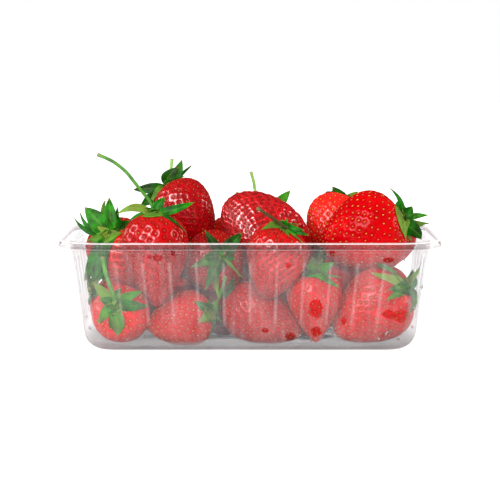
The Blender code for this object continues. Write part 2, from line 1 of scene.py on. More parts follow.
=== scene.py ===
# Looks for a punnet of strawberries: a clear pressed tray, whole berries with their leaves, stems
# and seeds, and drops of water on the inside of the plastic.
# Sizes and places are in millimetres until a mesh is written, which is in metres.
# +X runs along the tray, +Y towards its back and +Z up.

import math
from collections import namedtuple

import bpy
import numpy as np
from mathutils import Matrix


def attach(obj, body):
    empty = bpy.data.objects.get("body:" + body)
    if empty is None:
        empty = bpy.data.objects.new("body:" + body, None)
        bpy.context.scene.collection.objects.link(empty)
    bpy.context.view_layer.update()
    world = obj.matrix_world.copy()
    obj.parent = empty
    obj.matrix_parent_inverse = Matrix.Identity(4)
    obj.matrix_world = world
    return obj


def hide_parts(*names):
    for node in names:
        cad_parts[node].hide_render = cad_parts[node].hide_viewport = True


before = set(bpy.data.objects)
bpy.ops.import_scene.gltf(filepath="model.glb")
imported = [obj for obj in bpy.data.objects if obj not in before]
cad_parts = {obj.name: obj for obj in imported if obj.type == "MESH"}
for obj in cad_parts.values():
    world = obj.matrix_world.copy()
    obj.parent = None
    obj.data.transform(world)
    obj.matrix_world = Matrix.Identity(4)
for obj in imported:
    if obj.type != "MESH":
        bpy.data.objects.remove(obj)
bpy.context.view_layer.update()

MM = 0.001
GOLDEN_TURN = math.pi * (3 - math.sqrt(5))

Berry = namedtuple("Berry", "name place way length width taper breadth roll")
Skin = namedtuple("Skin", "spacing depth ripe reach browned shine")

# Tray
RIM_LENGTH = 190.0
RIM_HEIGHT = 55.0
RIM_CORNER = 24.0
FLANGE = 6.0  # flat top of the rim, from the lip to the mouth
LIP_DROP = 3.1
LIP_FLARE = 0.5
SHEET = 0.6
WALL_HALF_LENGTH = 82.1  # outer face of the end wall, carried down to Z = 0
WALL_LEAN = 0.129
LENGTH_LESS_WIDTH = 36.0  # half length less half width, the same at every height
WALL_CORNER = 15.5
BASE_ROUND = 10.0
STEP_HEIGHT = 49.6
STEP_OUT = 0.6
PANEL_HALF_LENGTH = 63.0
PANEL_RAISE = 0.6
PANEL_CORNER = 8.0
PANEL_SLOPE = 1.0
PANEL_MIDDLE_IN = 30.0  # from the panel's edge to the last ring of points in its flat middle
FLUTE_DEPTH = 0.9
FLUTE_WIDTH = 3.2
FLUTE_PITCH = 12.6
FLUTES_LONG_SIDE = 11
FLUTES_SHORT_SIDE = 5
FLUTE_FOOT = 12.0
FLUTE_HEAD = 47.0
FLUTE_RUN_OUT = 3.0
STOPS_A_FLUTE = 18  # points along the wall for each flute
CORNER_STEPS = 14
BEND_RADIUS = 0.28  # the small round of every edge of the sheet
LIP_MARGIN = 0.3  # what lies this near the outer edge of the rim belongs to its lip

# Share of its mirroring that the sheet keeps at a height: most in the flat base and least in the rim
MIRROR_HEIGHTS = (2.0, 9.0, 50.5, 52.0)
MIRROR_SHARES = (0.56, 0.14, 0.14, 0.08)
LINE_HALF_WIDTH = 0.25  # of the painted highlight line along the edge of the rim

# Wet spots on the front wall, where a berry touches it: place along X, height, half width, half height
WET_SPOTS = (
    (32.2, 22.1, 3.5, 5.3),
    (32.6, 10.6, 2.8, 2.4),
    (67.9, 19.2, 3.1, 2.6),
    (74.3, 18.2, 4.1, 3.6),
    (46.0, 15.8, 1.3, 2.2),
    (67.4, 46.5, 2.8, 1.5),
    (39.9, 50.0, 1.3, 1.4),
    (-44.9, 47.5, 2.8, 1.6),
    (-48.9, 48.0, 1.1, 1.0),
    (-37.6, 50.0, 1.1, 1.4),
    (7.4, 11.2, 1.8, 1.4),
    (19.7, 8.0, 2.5, 2.2),
    (18.6, 44.0, 1.3, 1.5),
)

# Drops of water on the inside of the front wall: place along X, height and radius
DROPS = (
    (67.8, 9.5, 1.3), (69.6, 10.6, 0.6), (73.0, 6.9, 0.7), (63.2, 7.0, 0.5), (-4.0, 8.2, 0.7),
    (12.5, 6.6, 0.6), (24.6, 8.8, 0.6), (-28.0, 9.0, 0.6), (-52.0, 8.0, 0.5), (40.8, 9.6, 0.5),
    (79.5, 13.0, 0.7), (80.6, 22.4, 0.8), (77.2, 25.6, 0.6), (-60.5, 6.5, 0.6), (51.0, 6.4, 0.5),
    (-80.0, 18.0, 0.6), (-78.6, 12.4, 0.7), (30.2, 6.2, 0.6), (3.6, 12.2, 0.5), (84.0, 33.0, 0.7),
)
DROP_GRID = (4, 14)  # rings and sides
DROP_RISE = 0.42  # height of a drop as a share of its radius
DROP_STRETCH = 1.15
DROP_OFF_WALL = 0.02

# Berries: name, place of the middle, way to the tip, length, width, taper, breadth, roll in degrees.
# Taper moves the widest ring towards the calyx, and breadth widens a berry across.
SHOWN_BERRIES = (
    ("long_left", (-47, -30, 42.3), (0.05, -0.14, -1.0), 47.5, 33.5, 0.45, 1.0, 0),
    ("top_left", (-32.2, 15, 63.3), (0.55, -0.35, -0.65), 38, 31, 0.35, 1.0, 0),
    ("far_left", (-60.6, -12, 42), (0.56, -0.20, -0.80), 32, 26, 0.48, 1.0, 0),
    ("broad_middle", (8.8, 2, 52.6), (-0.10, -0.85, -0.40), 41, 34, 0.30, 1.55, -38),
    ("front_middle", (12.4, -36, 43.2), (-0.24, -0.10, -0.92), 37, 30.5, 0.36, 1.0, 0),
    ("back_right", (43.5, 22, 56.4), (-0.35, -0.55, -0.60), 34, 30, 0.35, 1.0, 0),
    ("large_right", (56.6, -12, 54.6), (-0.93, -0.15, -0.33), 45, 41.5, 0.36, 1.0, 0),
    ("behind_wall", (-19.5, -14, 40.5), (-0.30, 0.80, -0.30), 34, 32, 0.35, 1.0, 0),
    ("low_left", (-61.8, -32, 15.6), (0.23, 0.78, -0.55), 31, 29, 0.25, 1.0, 0),
    ("low_second", (-36.8, -30, 14.4), (-0.85, -0.35, -0.15), 35, 28, 0.35, 1.0, 0),
    ("low_middle", (6.8, -24, 12.4), (0.85, -0.35, -0.33), 45, 30, 0.36, 1.0, 0),
    ("low_pointed", (32.5, -33, 19.5), (0.03, -0.20, -0.95), 35, 28, 0.58, 1.0, 0),
    ("low_right", (59.2, -25, 18.4), (-0.75, -0.30, -0.45), 43.5, 37.5, 0.35, 1.0, 0),
)
PACKED_BERRIES = (
    ("end_left", (-64, 4, 17), (0.6, 0.3, -0.4), 36, 31, 0.35, 1.0, 0),
    ("under_left", (-31, 3, 17), (-0.2, 0.9, -0.2), 35, 31, 0.35, 1.0, 0),
    ("under_middle", (2, 6, 17), (0.9, -0.2, -0.1), 38, 31, 0.40, 1.0, 0),
    ("under_right", (34, 3, 17), (0.1, -0.8, -0.5), 36, 31, 0.35, 1.0, 0),
    ("end_right", (66, 10, 17), (-0.5, 0.6, -0.3), 36, 31, 0.35, 1.0, 0),
    ("back_corner_left", (-60, 33, 18), (0.3, -0.2, -0.9), 36, 31, 0.35, 1.0, 0),
    ("back_low_left", (-27, 33, 17), (-0.9, 0.3, -0.2), 38, 31, 0.40, 1.0, 0),
    ("back_low_middle", (6, 34, 17), (0.2, 0.3, -0.9), 35, 32, 0.40, 1.0, 0),
    ("back_low_right", (38, 33, 17), (0.9, 0.2, -0.3), 38, 31, 0.35, 1.0, 0),
    ("back_corner_right", (68, 36, 18), (-0.2, 0.1, -0.9), 34, 30, 0.35, 1.0, 0),
    ("upper_end_left", (-64, 24, 47), (0.5, -0.4, -0.6), 38, 32, 0.35, 1.0, 0),
    ("upper_back_left", (-38, 38, 46), (0.3, 0.6, -0.7), 36, 31, 0.35, 1.0, 0),
    ("upper_back_middle", (-10, 36, 46), (-0.5, 0.5, -0.6), 38, 32, 0.40, 1.0, 0),
    ("upper_back_right", (24, 38, 46), (0.2, 0.7, -0.6), 36, 31, 0.40, 1.0, 0),
    ("upper_end_right", (66, 26, 46), (-0.4, 0.5, -0.7), 38, 33, 0.35, 1.0, 0),
    ("inner_right", (35, 0, 39), (0.3, 0.3, -0.9), 31, 26, 0.35, 1.0, 0),
)
INNER_BERRIES = ("under_left", "under_middle", "under_right", "inner_right")

# Settling: the berries are pressed apart until they only touch.
SETTLE_ROUNDS = 400
SETTLE_STILL = 60
SETTLE_STEP = 0.9
BALLS_ALONG = 5  # balls that stand for a berry, and the share of its length that their middles take up
BALL_SPAN = (-0.30, 0.34)
SINK = 0.06
SHOWN_GIVE = 0.45
SHOWN_RETURN = 0.02
BERRY_TO_WALL = 2.0
BERRY_TO_FLOOR = 1.6
BERRY_CORNER = 15.0
WALL_ENDS = 60.0
NEAR_AXIS = 0.5  # a point nearer to a berry's axis than this isn't moved out of it

# Skin of each shown berry: seed spacing, depth of the pits round the seeds, ripeness from -1, dark red,
# to 1, light orange-red, which on behind_wall is also painted shade, reach of a pit as a share of the
# spacing, how browned the seeds are, and shine, which also sets how dark the painted shade in the pits is
SKINS = {
    "long_left": (4.3, 0.55, -0.45, 0.42, 0.85, 0.8),
    "top_left": (3.7, 0.45, -0.60, 0.42, 1.00, 1.2),
    "far_left": (3.9, 0.45, 0.35, 0.42, 0.70, 1.0),
    "broad_middle": (2.9, 0.60, 0.00, 0.46, 1.40, 2.8),
    "front_middle": (3.3, 0.40, -0.15, 0.42, 1.00, 1.1),
    "back_right": (3.7, 0.40, 0.75, 0.40, 0.35, 0.6),
    "large_right": (4.0, 0.34, -0.20, 0.35, 0.45, 0.13),
    # behind_wall lies in shadow behind the others: its low ripeness value darkens it as painted shade.
    "behind_wall": (3.5, 0.45, -0.9, 0.40, 0.70, 0.6),
    "low_left": (3.9, 0.40, 0.20, 0.36, 0.15, 0.5),
    "low_second": (3.4, 0.35, -0.20, 0.38, 0.45, 0.3),
    "low_middle": (3.2, 0.40, -0.45, 0.42, 0.80, 0.5),
    "low_pointed": (3.4, 0.35, 0.00, 0.38, 0.65, 0.4),
    "low_right": (3.5, 0.35, 0.00, 0.38, 0.55, 0.45),
}
PACKED_SKIN = (3.6, 0.45, 0.0, 0.40, 0.6, 0.7)
SHOWN_GRID = (132, 200)  # rings and sides
BROAD_GRID = (180, 280)
PACKED_GRID = (64, 96)
INNER_GRID = (32, 48)
LOBES = 0.022  # share of the width by which a berry is out of round
CALYX_DIP = 1.5  # the skin round the calyx is pressed in this far
CALYX_DIP_RADIUS = 4.5
ONE_PIT = 0.995  # share of the depth that one pit alone goes down
PIT_SQUARE = 1.6  # 1 gives pits with the section of a bell, and more gives them flatter floors
PIT_PROUD = 0.2  # share of a pit's depth by which the skin between pits stands proud
SHOULDER_REACH = 0.75  # angle from the calyx over which the skin pales, in radians
FIRST_SEED = 0.30  # angle from the calyx, in radians
SEED_THINNING = 1.15  # more than 1 leaves fewer seeds near the tip
SEED_STRAY = 0.03

# Seeds
SEED_LENGTH = 1.15
SEED_WIDTH = 0.70
SEED_THICK = 0.50
SEED_LIFT = 0.05
SEED_SIDES = 6
SEED_RING_PLACES = (-0.20, 0.18)  # along the seed, as shares of its length
SEED_RING_GIRTHS = (0.5, 0.38)
SEED_SIZES = (0.85, 1.12)
SEED_DRAWS = 100  # added to a berry's number, so that its seeds have random numbers of their own

# Leaves
LEAF_GRID = (17, 7)  # stations along and points across
LEAF_SHEET = 0.34
LEAF_FOLD = 0.22
LEAF_ARCH = 0.16
LEAF_WAVE = 0.5
LEAF_LIFT = 0.7
LEAF_TO_WALL = 1.9
LEAF_TO_FLOOR = 1.3
LEAF_PHASE = 2.4  # how far the waves of one leaf are shifted from those of the one before
CALYX_SINK = 0.6  # the leaves start this far under the calyx end of the skin
SEPALS = 9
SHORT_SEPAL = 0.72
SEPAL_PHASE = 1.3
SEPAL_DRAWS = 200
TIP_GAP = 0.3  # least gap between the tip of a leaf and another berry
TIP_PAST_WALL = 1.5
SEPAL_LENGTH = 7.0
SEPAL_WIDTH = 4.2
PACKED_SEPAL_LENGTH = 11.0
PACKED_SEPAL_WIDTH = 5.0
HUB_RADIUS = 3.0
HUB_HEIGHT = 1.5
HUB_SINK = 0.4

# Leaves of the shown berries: place of the tip, width, tone from -1, dark, to 1, pale, turn of its face
# away from the front in degrees, and how far it bows to its right, as a share of its length. Turn and
# bow are 0 where they aren't given.
LEAVES = {
    "long_left": (
        ((-27.5, -30, 73), 4.0, 0.0, 15, 0.1),
        ((-42.5, -26, 75), 4.5, -0.1, 10, 0),
        ((-66, -28, 67), 3.6, 0.6, 0, 0.16),
        ((-61, -26, 62.5), 5.0, -0.2, 20, 0.05),
        ((-51, -34, 66), 3.8, 0.3),
        ((-31.5, -36, 58.5), 2.0, -0.5),
    ),
    "top_left": (
        ((-35.5, 20, 91), 6.0, -0.35, 0, 0.08),
        ((-37, 18, 87.5), 6.5, -0.75, 0, -0.16),
        ((-30.5, 22, 88), 1.8, -0.5),
        ((-61, 24, 75), 5.0, -0.6),
        ((-57.5, 22, 66.5), 6.2, -0.45),
        ((-51.5, 18, 70.5), 6.2, 0.3),
    ),
    "far_left": (
        ((-72, -2, 73), 6.0, 0.05),
        ((-84.5, -2, 68), 9.0, 0.05),
        ((-74.5, 4, 71), 2.8, 0.35, 0, -0.1),
        ((-87, -4, 66), 2.4, -0.35, 0, -0.18),
        ((-90, -2, 62.5), 2.4, -0.05, 0, -0.14),
        ((-68, 0, 68), 2.4, -0.1, 0, 0.05),
        ((-67.5, 4, 62.5), 5.0, -0.5),
        ((-62, 6, 59.5), 6.0, -0.4),
        ((-77.5, -10, 59), 4.0, 0.7),
        ((-65, -16, 56), 5.5, 0.4),
        ((-83, -8, 51.5), 5.0, 0.3),
        ((-84, -14, 31.5), 9.0, 0.0),
        ((-77.5, -16, 30.3), 7.5, -0.1),
        ((-80.8, -15, 28.5), 6.0, -0.4),
        ((-74.5, -16, 30.5), 6.5, -0.5),
    ),
    "broad_middle": (
        ((21, 20, 75), 5.5, 0.15, 15, 0.05),
        ((-7.5, 24, 74), 3.5, 0.2),
        ((2, 34, 67), 6.0, 0.1),
        ((20, 33, 61), 6.0, 0.1),
    ),
    "front_middle": (
        ((5.5, -42, 60.5), 3.4, 0.35, 0, 0.14),
        ((18.5, -40, 65.5), 2.8, -0.1),
        ((26.5, -42, 60), 3.4, -0.3),
        ((29, -42, 57.5), 2.8, -0.1),
        ((19, -46, 57.5), 3.2, 0.2),
        ((26, -44, 54), 1.6, 0.3),
    ),
    "back_right": (
        ((43.5, 28, 76.5), 6.0, -0.45),
        ((51.5, 30, 72), 3.0, -0.4),
        ((57, 32, 73.5), 3.6, 0.5),
        ((46, 42, 68), 5.0, 0.0),
    ),
    "large_right": (
        ((71, -10, 78.5), 2.2, -0.4, 0, 0.15),
        ((77.5, -2, 69.5), 5.0, 0.5),
        ((82.5, -8, 69), 6.0, -0.35, 0, 0.05),
        ((90.5, -8, 64.5), 2.8, 0.1, 0, -0.05),
        ((91, -10, 60.5), 3.2, 0.3, 0, 0.08),
        ((88.5, -12, 52.5), 6.5, -0.45),
        ((77, -20, 55.5), 7.0, 0.55),
        ((74.5, -14, 67.5), 4.5, 0.45),
        ((82, -10, 51.5), 3.0, 0.5),
    ),
    "behind_wall": (
        ((-22.5, -30, 59), 4.2, -0.75),
        ((-4, -28, 57.5), 6.5, -0.65),
        ((-29.5, -36, 41), 4.5, 0.2),
        ((-23.5, -36, 46), 6.5, -0.45),
        ((-15.5, -40, 26), 3.4, 0.35, 0, 0.1),
        ((-22, -42, 30.5), 6.0, -0.5),
        ((-3.5, -38, 36), 1.4, 0.3),
    ),
    "low_left": (
        ((-76.5, -46, 14), 4.6, 0.3),
        ((-68.5, -47, 15.5), 3.8, -0.4),
        ((-65, -47, 11.5), 4.6, 0.25),
        ((-50, -44, 23), 5.0, -0.35, 0, 0.05),
        ((-53, -42, 30), 4.2, 0.15),
        ((-77.5, -42, 34.5), 4.5, 0.5),
        ((-74, -45, 26.5), 4.0, -0.4),
    ),
    "low_second": (
        ((-27.5, -40, 25), 7.0, -0.3),
        ((-26, -40, 14.5), 7.0, 0.55),
        ((-20.5, -34, 5.5), 2.4, -0.2),
        ((-16, -34, 24.5), 5.0, 0.3),
        ((-14, -30, 13), 4.0, -0.6),
    ),
    "low_middle": (
        ((-7.5, -30, 36), 4.5, -0.5),
        ((-14.5, -8, 27), 4.5, -0.4),
    ),
    "low_pointed": (
        ((31, -34, 46), 6.0, 0.3),
        ((36.3, -20, 49.6), 6.0, -0.9),
        ((36, -33, 45), 4.0, 0.2),
        ((42, -33, 43), 5.0, 0.1),
        ((44, -44, 32), 3.6, 0.1),
        ((45, -40, 36.5), 1.5, 0.3),
        ((26, -38, 37.5), 4.0, -0.1),
    ),
    "low_right": (
        ((62, -24, 44.5), 5.0, 0.15),
        ((60, -36, 38.5), 7.0, 0.75),
        ((68, -42, 30.5), 6.5, -0.45),
        ((79.5, -36, 33), 6.5, -0.3),
        ((67, -44, 25.5), 5.0, 0.2),
        ((88.5, -22, 42), 2.0, 0.5),
        ((82, -20, 38), 6.0, 0.0, 0, 0.2),
        ((77, -38, 16.5), 5.0, 0.2, 0, -0.3),
        ((85, -30, 26), 5.0, 0.0),
    ),
}

FRONT = np.array((0.0, -1.0, 0.15))

# Stems that show: places along each, from near the calyx to the cut end, the radius, and the tone from
# -1, light green, to 1, dark olive.
STEMS = {
    "long_left": (
        ((-49.5, -28, 72.5), (-57, -27, 82), (-62, -26, 88), (-68.5, -25, 93), (-76, -24, 96.3)),
        0.85, 0.1,
    ),
    "top_left": (((-42.5, 23, 82), (-41.5, 24, 86), (-41, 26, 91)), 0.8, -0.5),
    "broad_middle": (((3.4, 24, 73), (2, 25, 79), (0.5, 25, 84.5)), 0.8, -0.5),
    "front_middle": (((18.5, -41, 60.6), (11.3, -43, 66.0), (3.4, -43, 71.2)), 0.8, 1.0),
    "low_left": (((-67.5, -44, 29), (-69.3, -43, 34), (-71.2, -41, 39.8), (-72.8, -38, 46.5)), 1.1, 0.0),
    "low_second": (((-16, -30, 24), (-13.5, -30, 31), (-12, -30, 36)), 0.9, 0.2),
}
STEM_GRID = (60, 12)  # places along and sides
STUB_LENGTH = 5.0
STUB_RADIUS = 0.9
STUB_BEND = 0.4
STUB_STEPS = 14

# Core inside the heap
CORE_HALF_LENGTH = 58.0
CORE_HALF_WIDTH = 22.0
CORE_MIDDLE = 18.0
CORE_HALF_HEIGHT = 11.0
CORE_GRID = (40, 80)

# Camera: level with the heap, a little above the tray, as in the photo
CAMERA_PLACE = (0.0, -960.0, 148.6)
CAMERA_DOWN = 6.11  # degrees
CAMERA_LENS = 135.2
CAMERA_SENSOR = 36.0

# Studio: strength of the white surround as light, and as what glossy skins mirror
WORLD_LIGHT = 0.35
WORLD_MIRRORED = 0.05
FLOOR_HALF = 4000.0
FLOOR_STEPS = 9
FLOOR_DROP = 0.05  # the floor lies this far under the tray

# Lights: name, place, height over the middle of the tray that it points at, size, watts, whether gloss
# mirrors it, and whether it lights matt skins
LIGHTS = (
    ("softbox", (-500, -780, 600), 40, 700, 28, True, False),
    ("left_edge", (-900, 160, 420), 50, 400, 5, True, True),
    ("right_edge", (900, 100, 300), 50, 400, 4, True, True),
    ("left_fill", (-760, -900, 440), 30, 500, 9, False, True),
    ("front_fill", (200, -1240, 460), 30, 500, 15, False, True),
    ("top_fill", (60, 100, 900), 40, 360, 3, False, True),
)


def joined(shapes):
    """Several shapes as one: each is points, fours, threes and a dict of values for each point."""
    points, quads, tris, values = [], [], [], {}
    count = 0
    for shape_points, shape_quads, shape_tris, shape_values in shapes:
        points.append(shape_points)
        quads.append(np.asarray(shape_quads).reshape(-1, 4) + count)
        tris.append(np.asarray(shape_tris).reshape(-1, 3) + count)
        for key, numbers in shape_values.items():
            values.setdefault(key, []).append(numbers)
        count += len(shape_points)
    values = {key: np.concatenate(numbers) for key, numbers in values.items()}
    return np.concatenate(points), np.concatenate(quads), np.concatenate(tris), values


def write_mesh(name, shape, material, stands_for=()):
    """Write a shape in millimetres as a smooth mesh in metres, with its values as point attributes."""
    points, quads, tris, values = shape
    quads = np.asarray(quads, np.int32).reshape(-1, 4)
    tris = np.asarray(tris, np.int32).reshape(-1, 3)
    mesh = bpy.data.meshes.new(name)
    mesh.vertices.add(len(points))
    mesh.vertices.foreach_set("co", (np.asarray(points) * MM).astype(np.float32).ravel())
    mesh.loops.add(quads.size + tris.size)
    mesh.loops.foreach_set("vertex_index", np.concatenate((quads.ravel(), tris.ravel())))
    mesh.polygons.add(len(quads) + len(tris))
    starts = np.concatenate((np.arange(len(quads)) * 4, quads.size + np.arange(len(tris)) * 3))
    mesh.polygons.foreach_set("loop_start", starts.astype(np.int32))
    mesh.update(calc_edges=True)
    for key, numbers in values.items():
        attribute = mesh.attributes.new(key, "FLOAT", "POINT")
        attribute.data.foreach_set("value", np.asarray(numbers, np.float32))
    mesh.shade_smooth()
    mesh.materials.append(material)
    piece = bpy.data.objects.new(name, mesh)
    bpy.context.scene.collection.objects.link(piece)
    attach(piece, "root")
    if stands_for:
        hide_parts(*stands_for)


def closed_faces(rings, sides):
    """Fours between rings of points, and threes to the two end points, which come last."""
    here = np.arange(rings * sides).reshape(rings, sides)
    following = np.roll(here, -1, axis=1)
    quads = np.stack((here[:-1], following[:-1], following[1:], here[1:]), -1).reshape(-1, 4)
    first = np.full(sides, rings * sides)
    start_fan = np.stack((first, following[0], here[0]), -1)
    end_fan = np.stack((first + 1, here[-1], following[-1]), -1)
    return quads, np.concatenate((start_fan, end_fan))


def unit(vectors):
    """The same vectors with a length of 1."""
    return vectors / np.maximum(np.linalg.norm(vectors, axis=-1, keepdims=True), 1e-9)


def smooth_path(places, count):
    """Points on one curve through the places: each stretch is the cubic of the four places round it."""
    places = np.array(places, float)
    held = np.vstack((2 * places[0] - places[1], places, 2 * places[-1] - places[-2]))
    run = np.linspace(0, len(places) - 1, count)
    stretch = np.minimum(run.astype(int), len(places) - 2)
    f = (run - stretch)[:, None]
    a, b, c, d = (held[stretch + k] for k in range(4))
    return 0.5 * (2 * b + (c - a) * f + (2 * a - 5 * b + 4 * c - d) * f**2 + (3 * b - a - 3 * c + d) * f**3)


def wall_out(height):
    """Half length of the wall's outer face at a height."""
    return WALL_HALF_LENGTH + WALL_LEAN * height


# Berries, settled as in the solid


def berry_frame(way, roll):
    """Three columns: across, across and towards the tip."""
    axis = np.array(way, float) / np.linalg.norm(way)
    up = np.array((0.0, 0.0, 1.0)) if abs(axis[2]) < 0.95 else np.array((0.0, 1.0, 0.0))
    x = np.cross(up, axis)
    x /= np.linalg.norm(x)
    y = np.cross(axis, x)
    turn = math.radians(roll)
    first = x * math.cos(turn) + y * math.sin(turn)
    second = y * math.cos(turn) - x * math.sin(turn)
    return np.stack((first, second, axis), 1)


def half_width(u, berry):
    """Half width of a berry where u is the cosine of the angle from its calyx end."""
    taper = berry.taper
    widest = (math.sqrt(1 + 8 * taper * taper) - 1) / (4 * taper)
    top = math.sqrt(1 - widest * widest) * (1 + taper * widest)
    return berry.width / 2 * np.sqrt(np.clip(1 - u * u, 0, 1)) * (1 + taper * u) / top


def balls_in(berry):
    """Balls that fill a berry: middles along its axis, and side by side in a broad one, and radii."""
    u = np.cos(np.linspace(0, math.pi, 60))
    r = half_width(u, berry)
    z = -berry.length / 2 * u
    aside = (berry.breadth - 1) * berry.width / 2
    shifts = (0.0,) if aside < 1 else (-aside, 0.0, aside)
    middles = np.linspace(*BALL_SPAN, BALLS_ALONG) * berry.length
    return np.array([(s, 0.0, c, np.min(np.hypot(z - c, r))) for c in middles for s in shifts])


def from_tray(points, radii, clearance, floor):
    """How far each ball has to move to lie inside the tray."""
    half_x = wall_out(points[:, 2]) - clearance
    half_y = half_x - LENGTH_LESS_WIDTH
    q = np.stack((np.abs(points[:, 0]) - half_x, np.abs(points[:, 1]) - half_y), 1) + BERRY_CORNER
    outside = np.maximum(q, 0)
    reach = np.linalg.norm(outside, axis=1)
    flat = reach < 1e-9
    distance = np.where(flat, q.max(1), reach) - BERRY_CORNER
    way = np.where(flat[:, None], np.eye(2)[q.argmax(1)], outside / np.maximum(reach, 1e-9)[:, None])
    over = np.where(points[:, 2] > WALL_ENDS, 0, np.maximum(distance + radii, 0))
    move = np.zeros_like(points)
    move[:, :2] = -way * np.sign(points[:, :2]) * over[:, None]
    move[:, 2] = np.maximum(floor + radii - points[:, 2], 0)
    return move


def kept_in_tray(points, clearance, floor):
    """The same points, those past the tray's walls or floor moved back in."""
    flat = points.reshape(-1, 3)
    return (flat + from_tray(flat, np.zeros(len(flat)), clearance, floor)).reshape(points.shape)


def settle(berries, shown_count):
    """Press the berries apart and into the tray, and return where their middles come to rest."""
    start = np.array([berry.place for berry in berries], float)
    frames = [berry_frame(berry.way, berry.roll) for berry in berries]
    balls = [balls_in(berry) for berry in berries]
    owner = np.repeat(np.arange(len(berries)), [len(b) for b in balls])
    local = np.concatenate([b[:, :3] @ f.T for b, f in zip(balls, frames)])
    radii = np.concatenate([b[:, 3] for b in balls])
    apart = owner[:, None] != owner[None]
    member = (owner[None] == np.arange(len(berries))[:, None]).astype(float)
    shown = (np.arange(len(berries)) < shown_count)[:, None]
    give = np.where(shown, SHOWN_GIVE, 1.0) * SETTLE_STEP
    places = start.copy()
    for rounds_done in range(SETTLE_ROUNDS):
        points = places[owner] + local
        between = points[:, None] - points[None]
        distance = np.linalg.norm(between, axis=2) + 1e-9
        over = np.where(apart, np.maximum(radii[:, None] + radii[None] - distance, 0), 0)
        push = (between / distance[..., None] * over[..., None] * 0.5).sum(1)
        push += from_tray(points, radii, BERRY_TO_WALL, BERRY_TO_FLOOR)
        moved = (np.linalg.norm(push, axis=1) > 1e-6).astype(float)
        places = places + member @ push / np.maximum(member @ moved, 1)[:, None] * give
        places = places + np.where(shown, (start - places) * SHOWN_RETURN, 0)
        if rounds_done < SETTLE_ROUNDS - SETTLE_STILL:
            places[:, 2] -= np.where(shown[:, 0], 0, SINK)
    return places, frames


def off_berries(points, lift):
    """Move points that lie in a berry straight out from its axis, to its skin and a little more."""
    shape = points.shape
    points = points.reshape(-1, 3)
    for berry, place, turned in zip(BERRIES, PLACES, TURNS):
        local = (points - place) @ turned
        u = np.clip(-2 * local[:, 2] / berry.length, -0.98, 0.98)
        skin = half_width(u, berry) + lift
        reach = np.hypot(local[:, 0] / berry.breadth, local[:, 1])
        inside = (reach < skin) & (np.abs(local[:, 2]) < berry.length / 2) & (reach > NEAR_AXIS)
        grow = np.where(inside, skin / np.maximum(reach, NEAR_AXIS), 1.0)
        local[:, :2] *= grow[:, None]
        points = local @ turned.T + place
    return points.reshape(shape)


BERRIES = [Berry(*row) for row in SHOWN_BERRIES + PACKED_BERRIES]
PLACES, TURNS = settle(BERRIES, len(SHOWN_BERRIES))


def skin_at(theta, turn, number):
    """Places on a berry's smooth skin, for an angle from the calyx and a turn round the axis.

    The distance from the axis is sin(theta) (1 + taper cos(theta)), scaled to the width, and swells
    and shrinks by a few lobes round the berry; the height is -cos(theta) half lengths, and the skin
    round the calyx is pressed in by a bell. What would pass the tray's wall or floor lies flat on it.
    """
    berry = BERRIES[number]
    u = np.cos(theta)
    r = half_width(u, berry)
    lobes = 0.6 * np.sin(2 * turn + 1.7 * number) + 0.4 * np.sin(3 * turn + 2.9 * number + 1.5 * u)
    r_lobed = r * (1 + LOBES * lobes * np.sin(theta))
    dip = CALYX_DIP * np.exp(-((r / CALYX_DIP_RADIUS) ** 2)) * (u > 0)
    x = r_lobed * np.cos(turn) * berry.breadth
    y = r_lobed * np.sin(turn)
    local = np.stack((x, y, dip - berry.length / 2 * u), -1)
    return kept_in_tray(local @ TURNS[number].T + PLACES[number], BERRY_TO_WALL, BERRY_TO_FLOOR)


def skin_ways(theta, turn, number):
    """The way out of the skin and the way down it to the tip, from places a small step apart."""
    step = 0.02
    across = skin_at(theta, turn + step, number) - skin_at(theta, turn - step, number)
    low = np.minimum(theta + step, math.pi - 1e-3)
    high = np.maximum(theta - step, 1e-3)
    down = unit(skin_at(low, turn, number) - skin_at(high, turn, number))
    return unit(np.cross(unit(across), down)), down


def seed_angles(number, spacing):
    """Where the seeds of a berry sit: the angle from its calyx and the turn round its axis of each.

    Each seed has the same area of skin, less near the tip, and turns by the golden angle past the last.
    """
    berry = BERRIES[number]
    theta = np.linspace(0, math.pi, 400)
    r = half_width(np.cos(theta), berry)
    slope = np.hypot(np.gradient(r), berry.length / 2 * np.gradient(np.cos(theta)))
    area = np.cumsum(2 * math.pi * r * slope) * (1 + berry.breadth) / 2
    count = int(area[-1] / (spacing**2 * math.sqrt(3) / 2))
    share = (np.arange(count) + 0.5) / count
    share = 1 - (1 - share) ** SEED_THINNING
    places = np.interp(share * area[-1], area, theta)
    strays = np.random.default_rng(number).normal(0, SEED_STRAY, count)
    turns = np.arange(count) * GOLDEN_TURN + strays / np.maximum(np.sin(places), 0.3)
    kept = places > FIRST_SEED
    return places[kept], turns[kept]


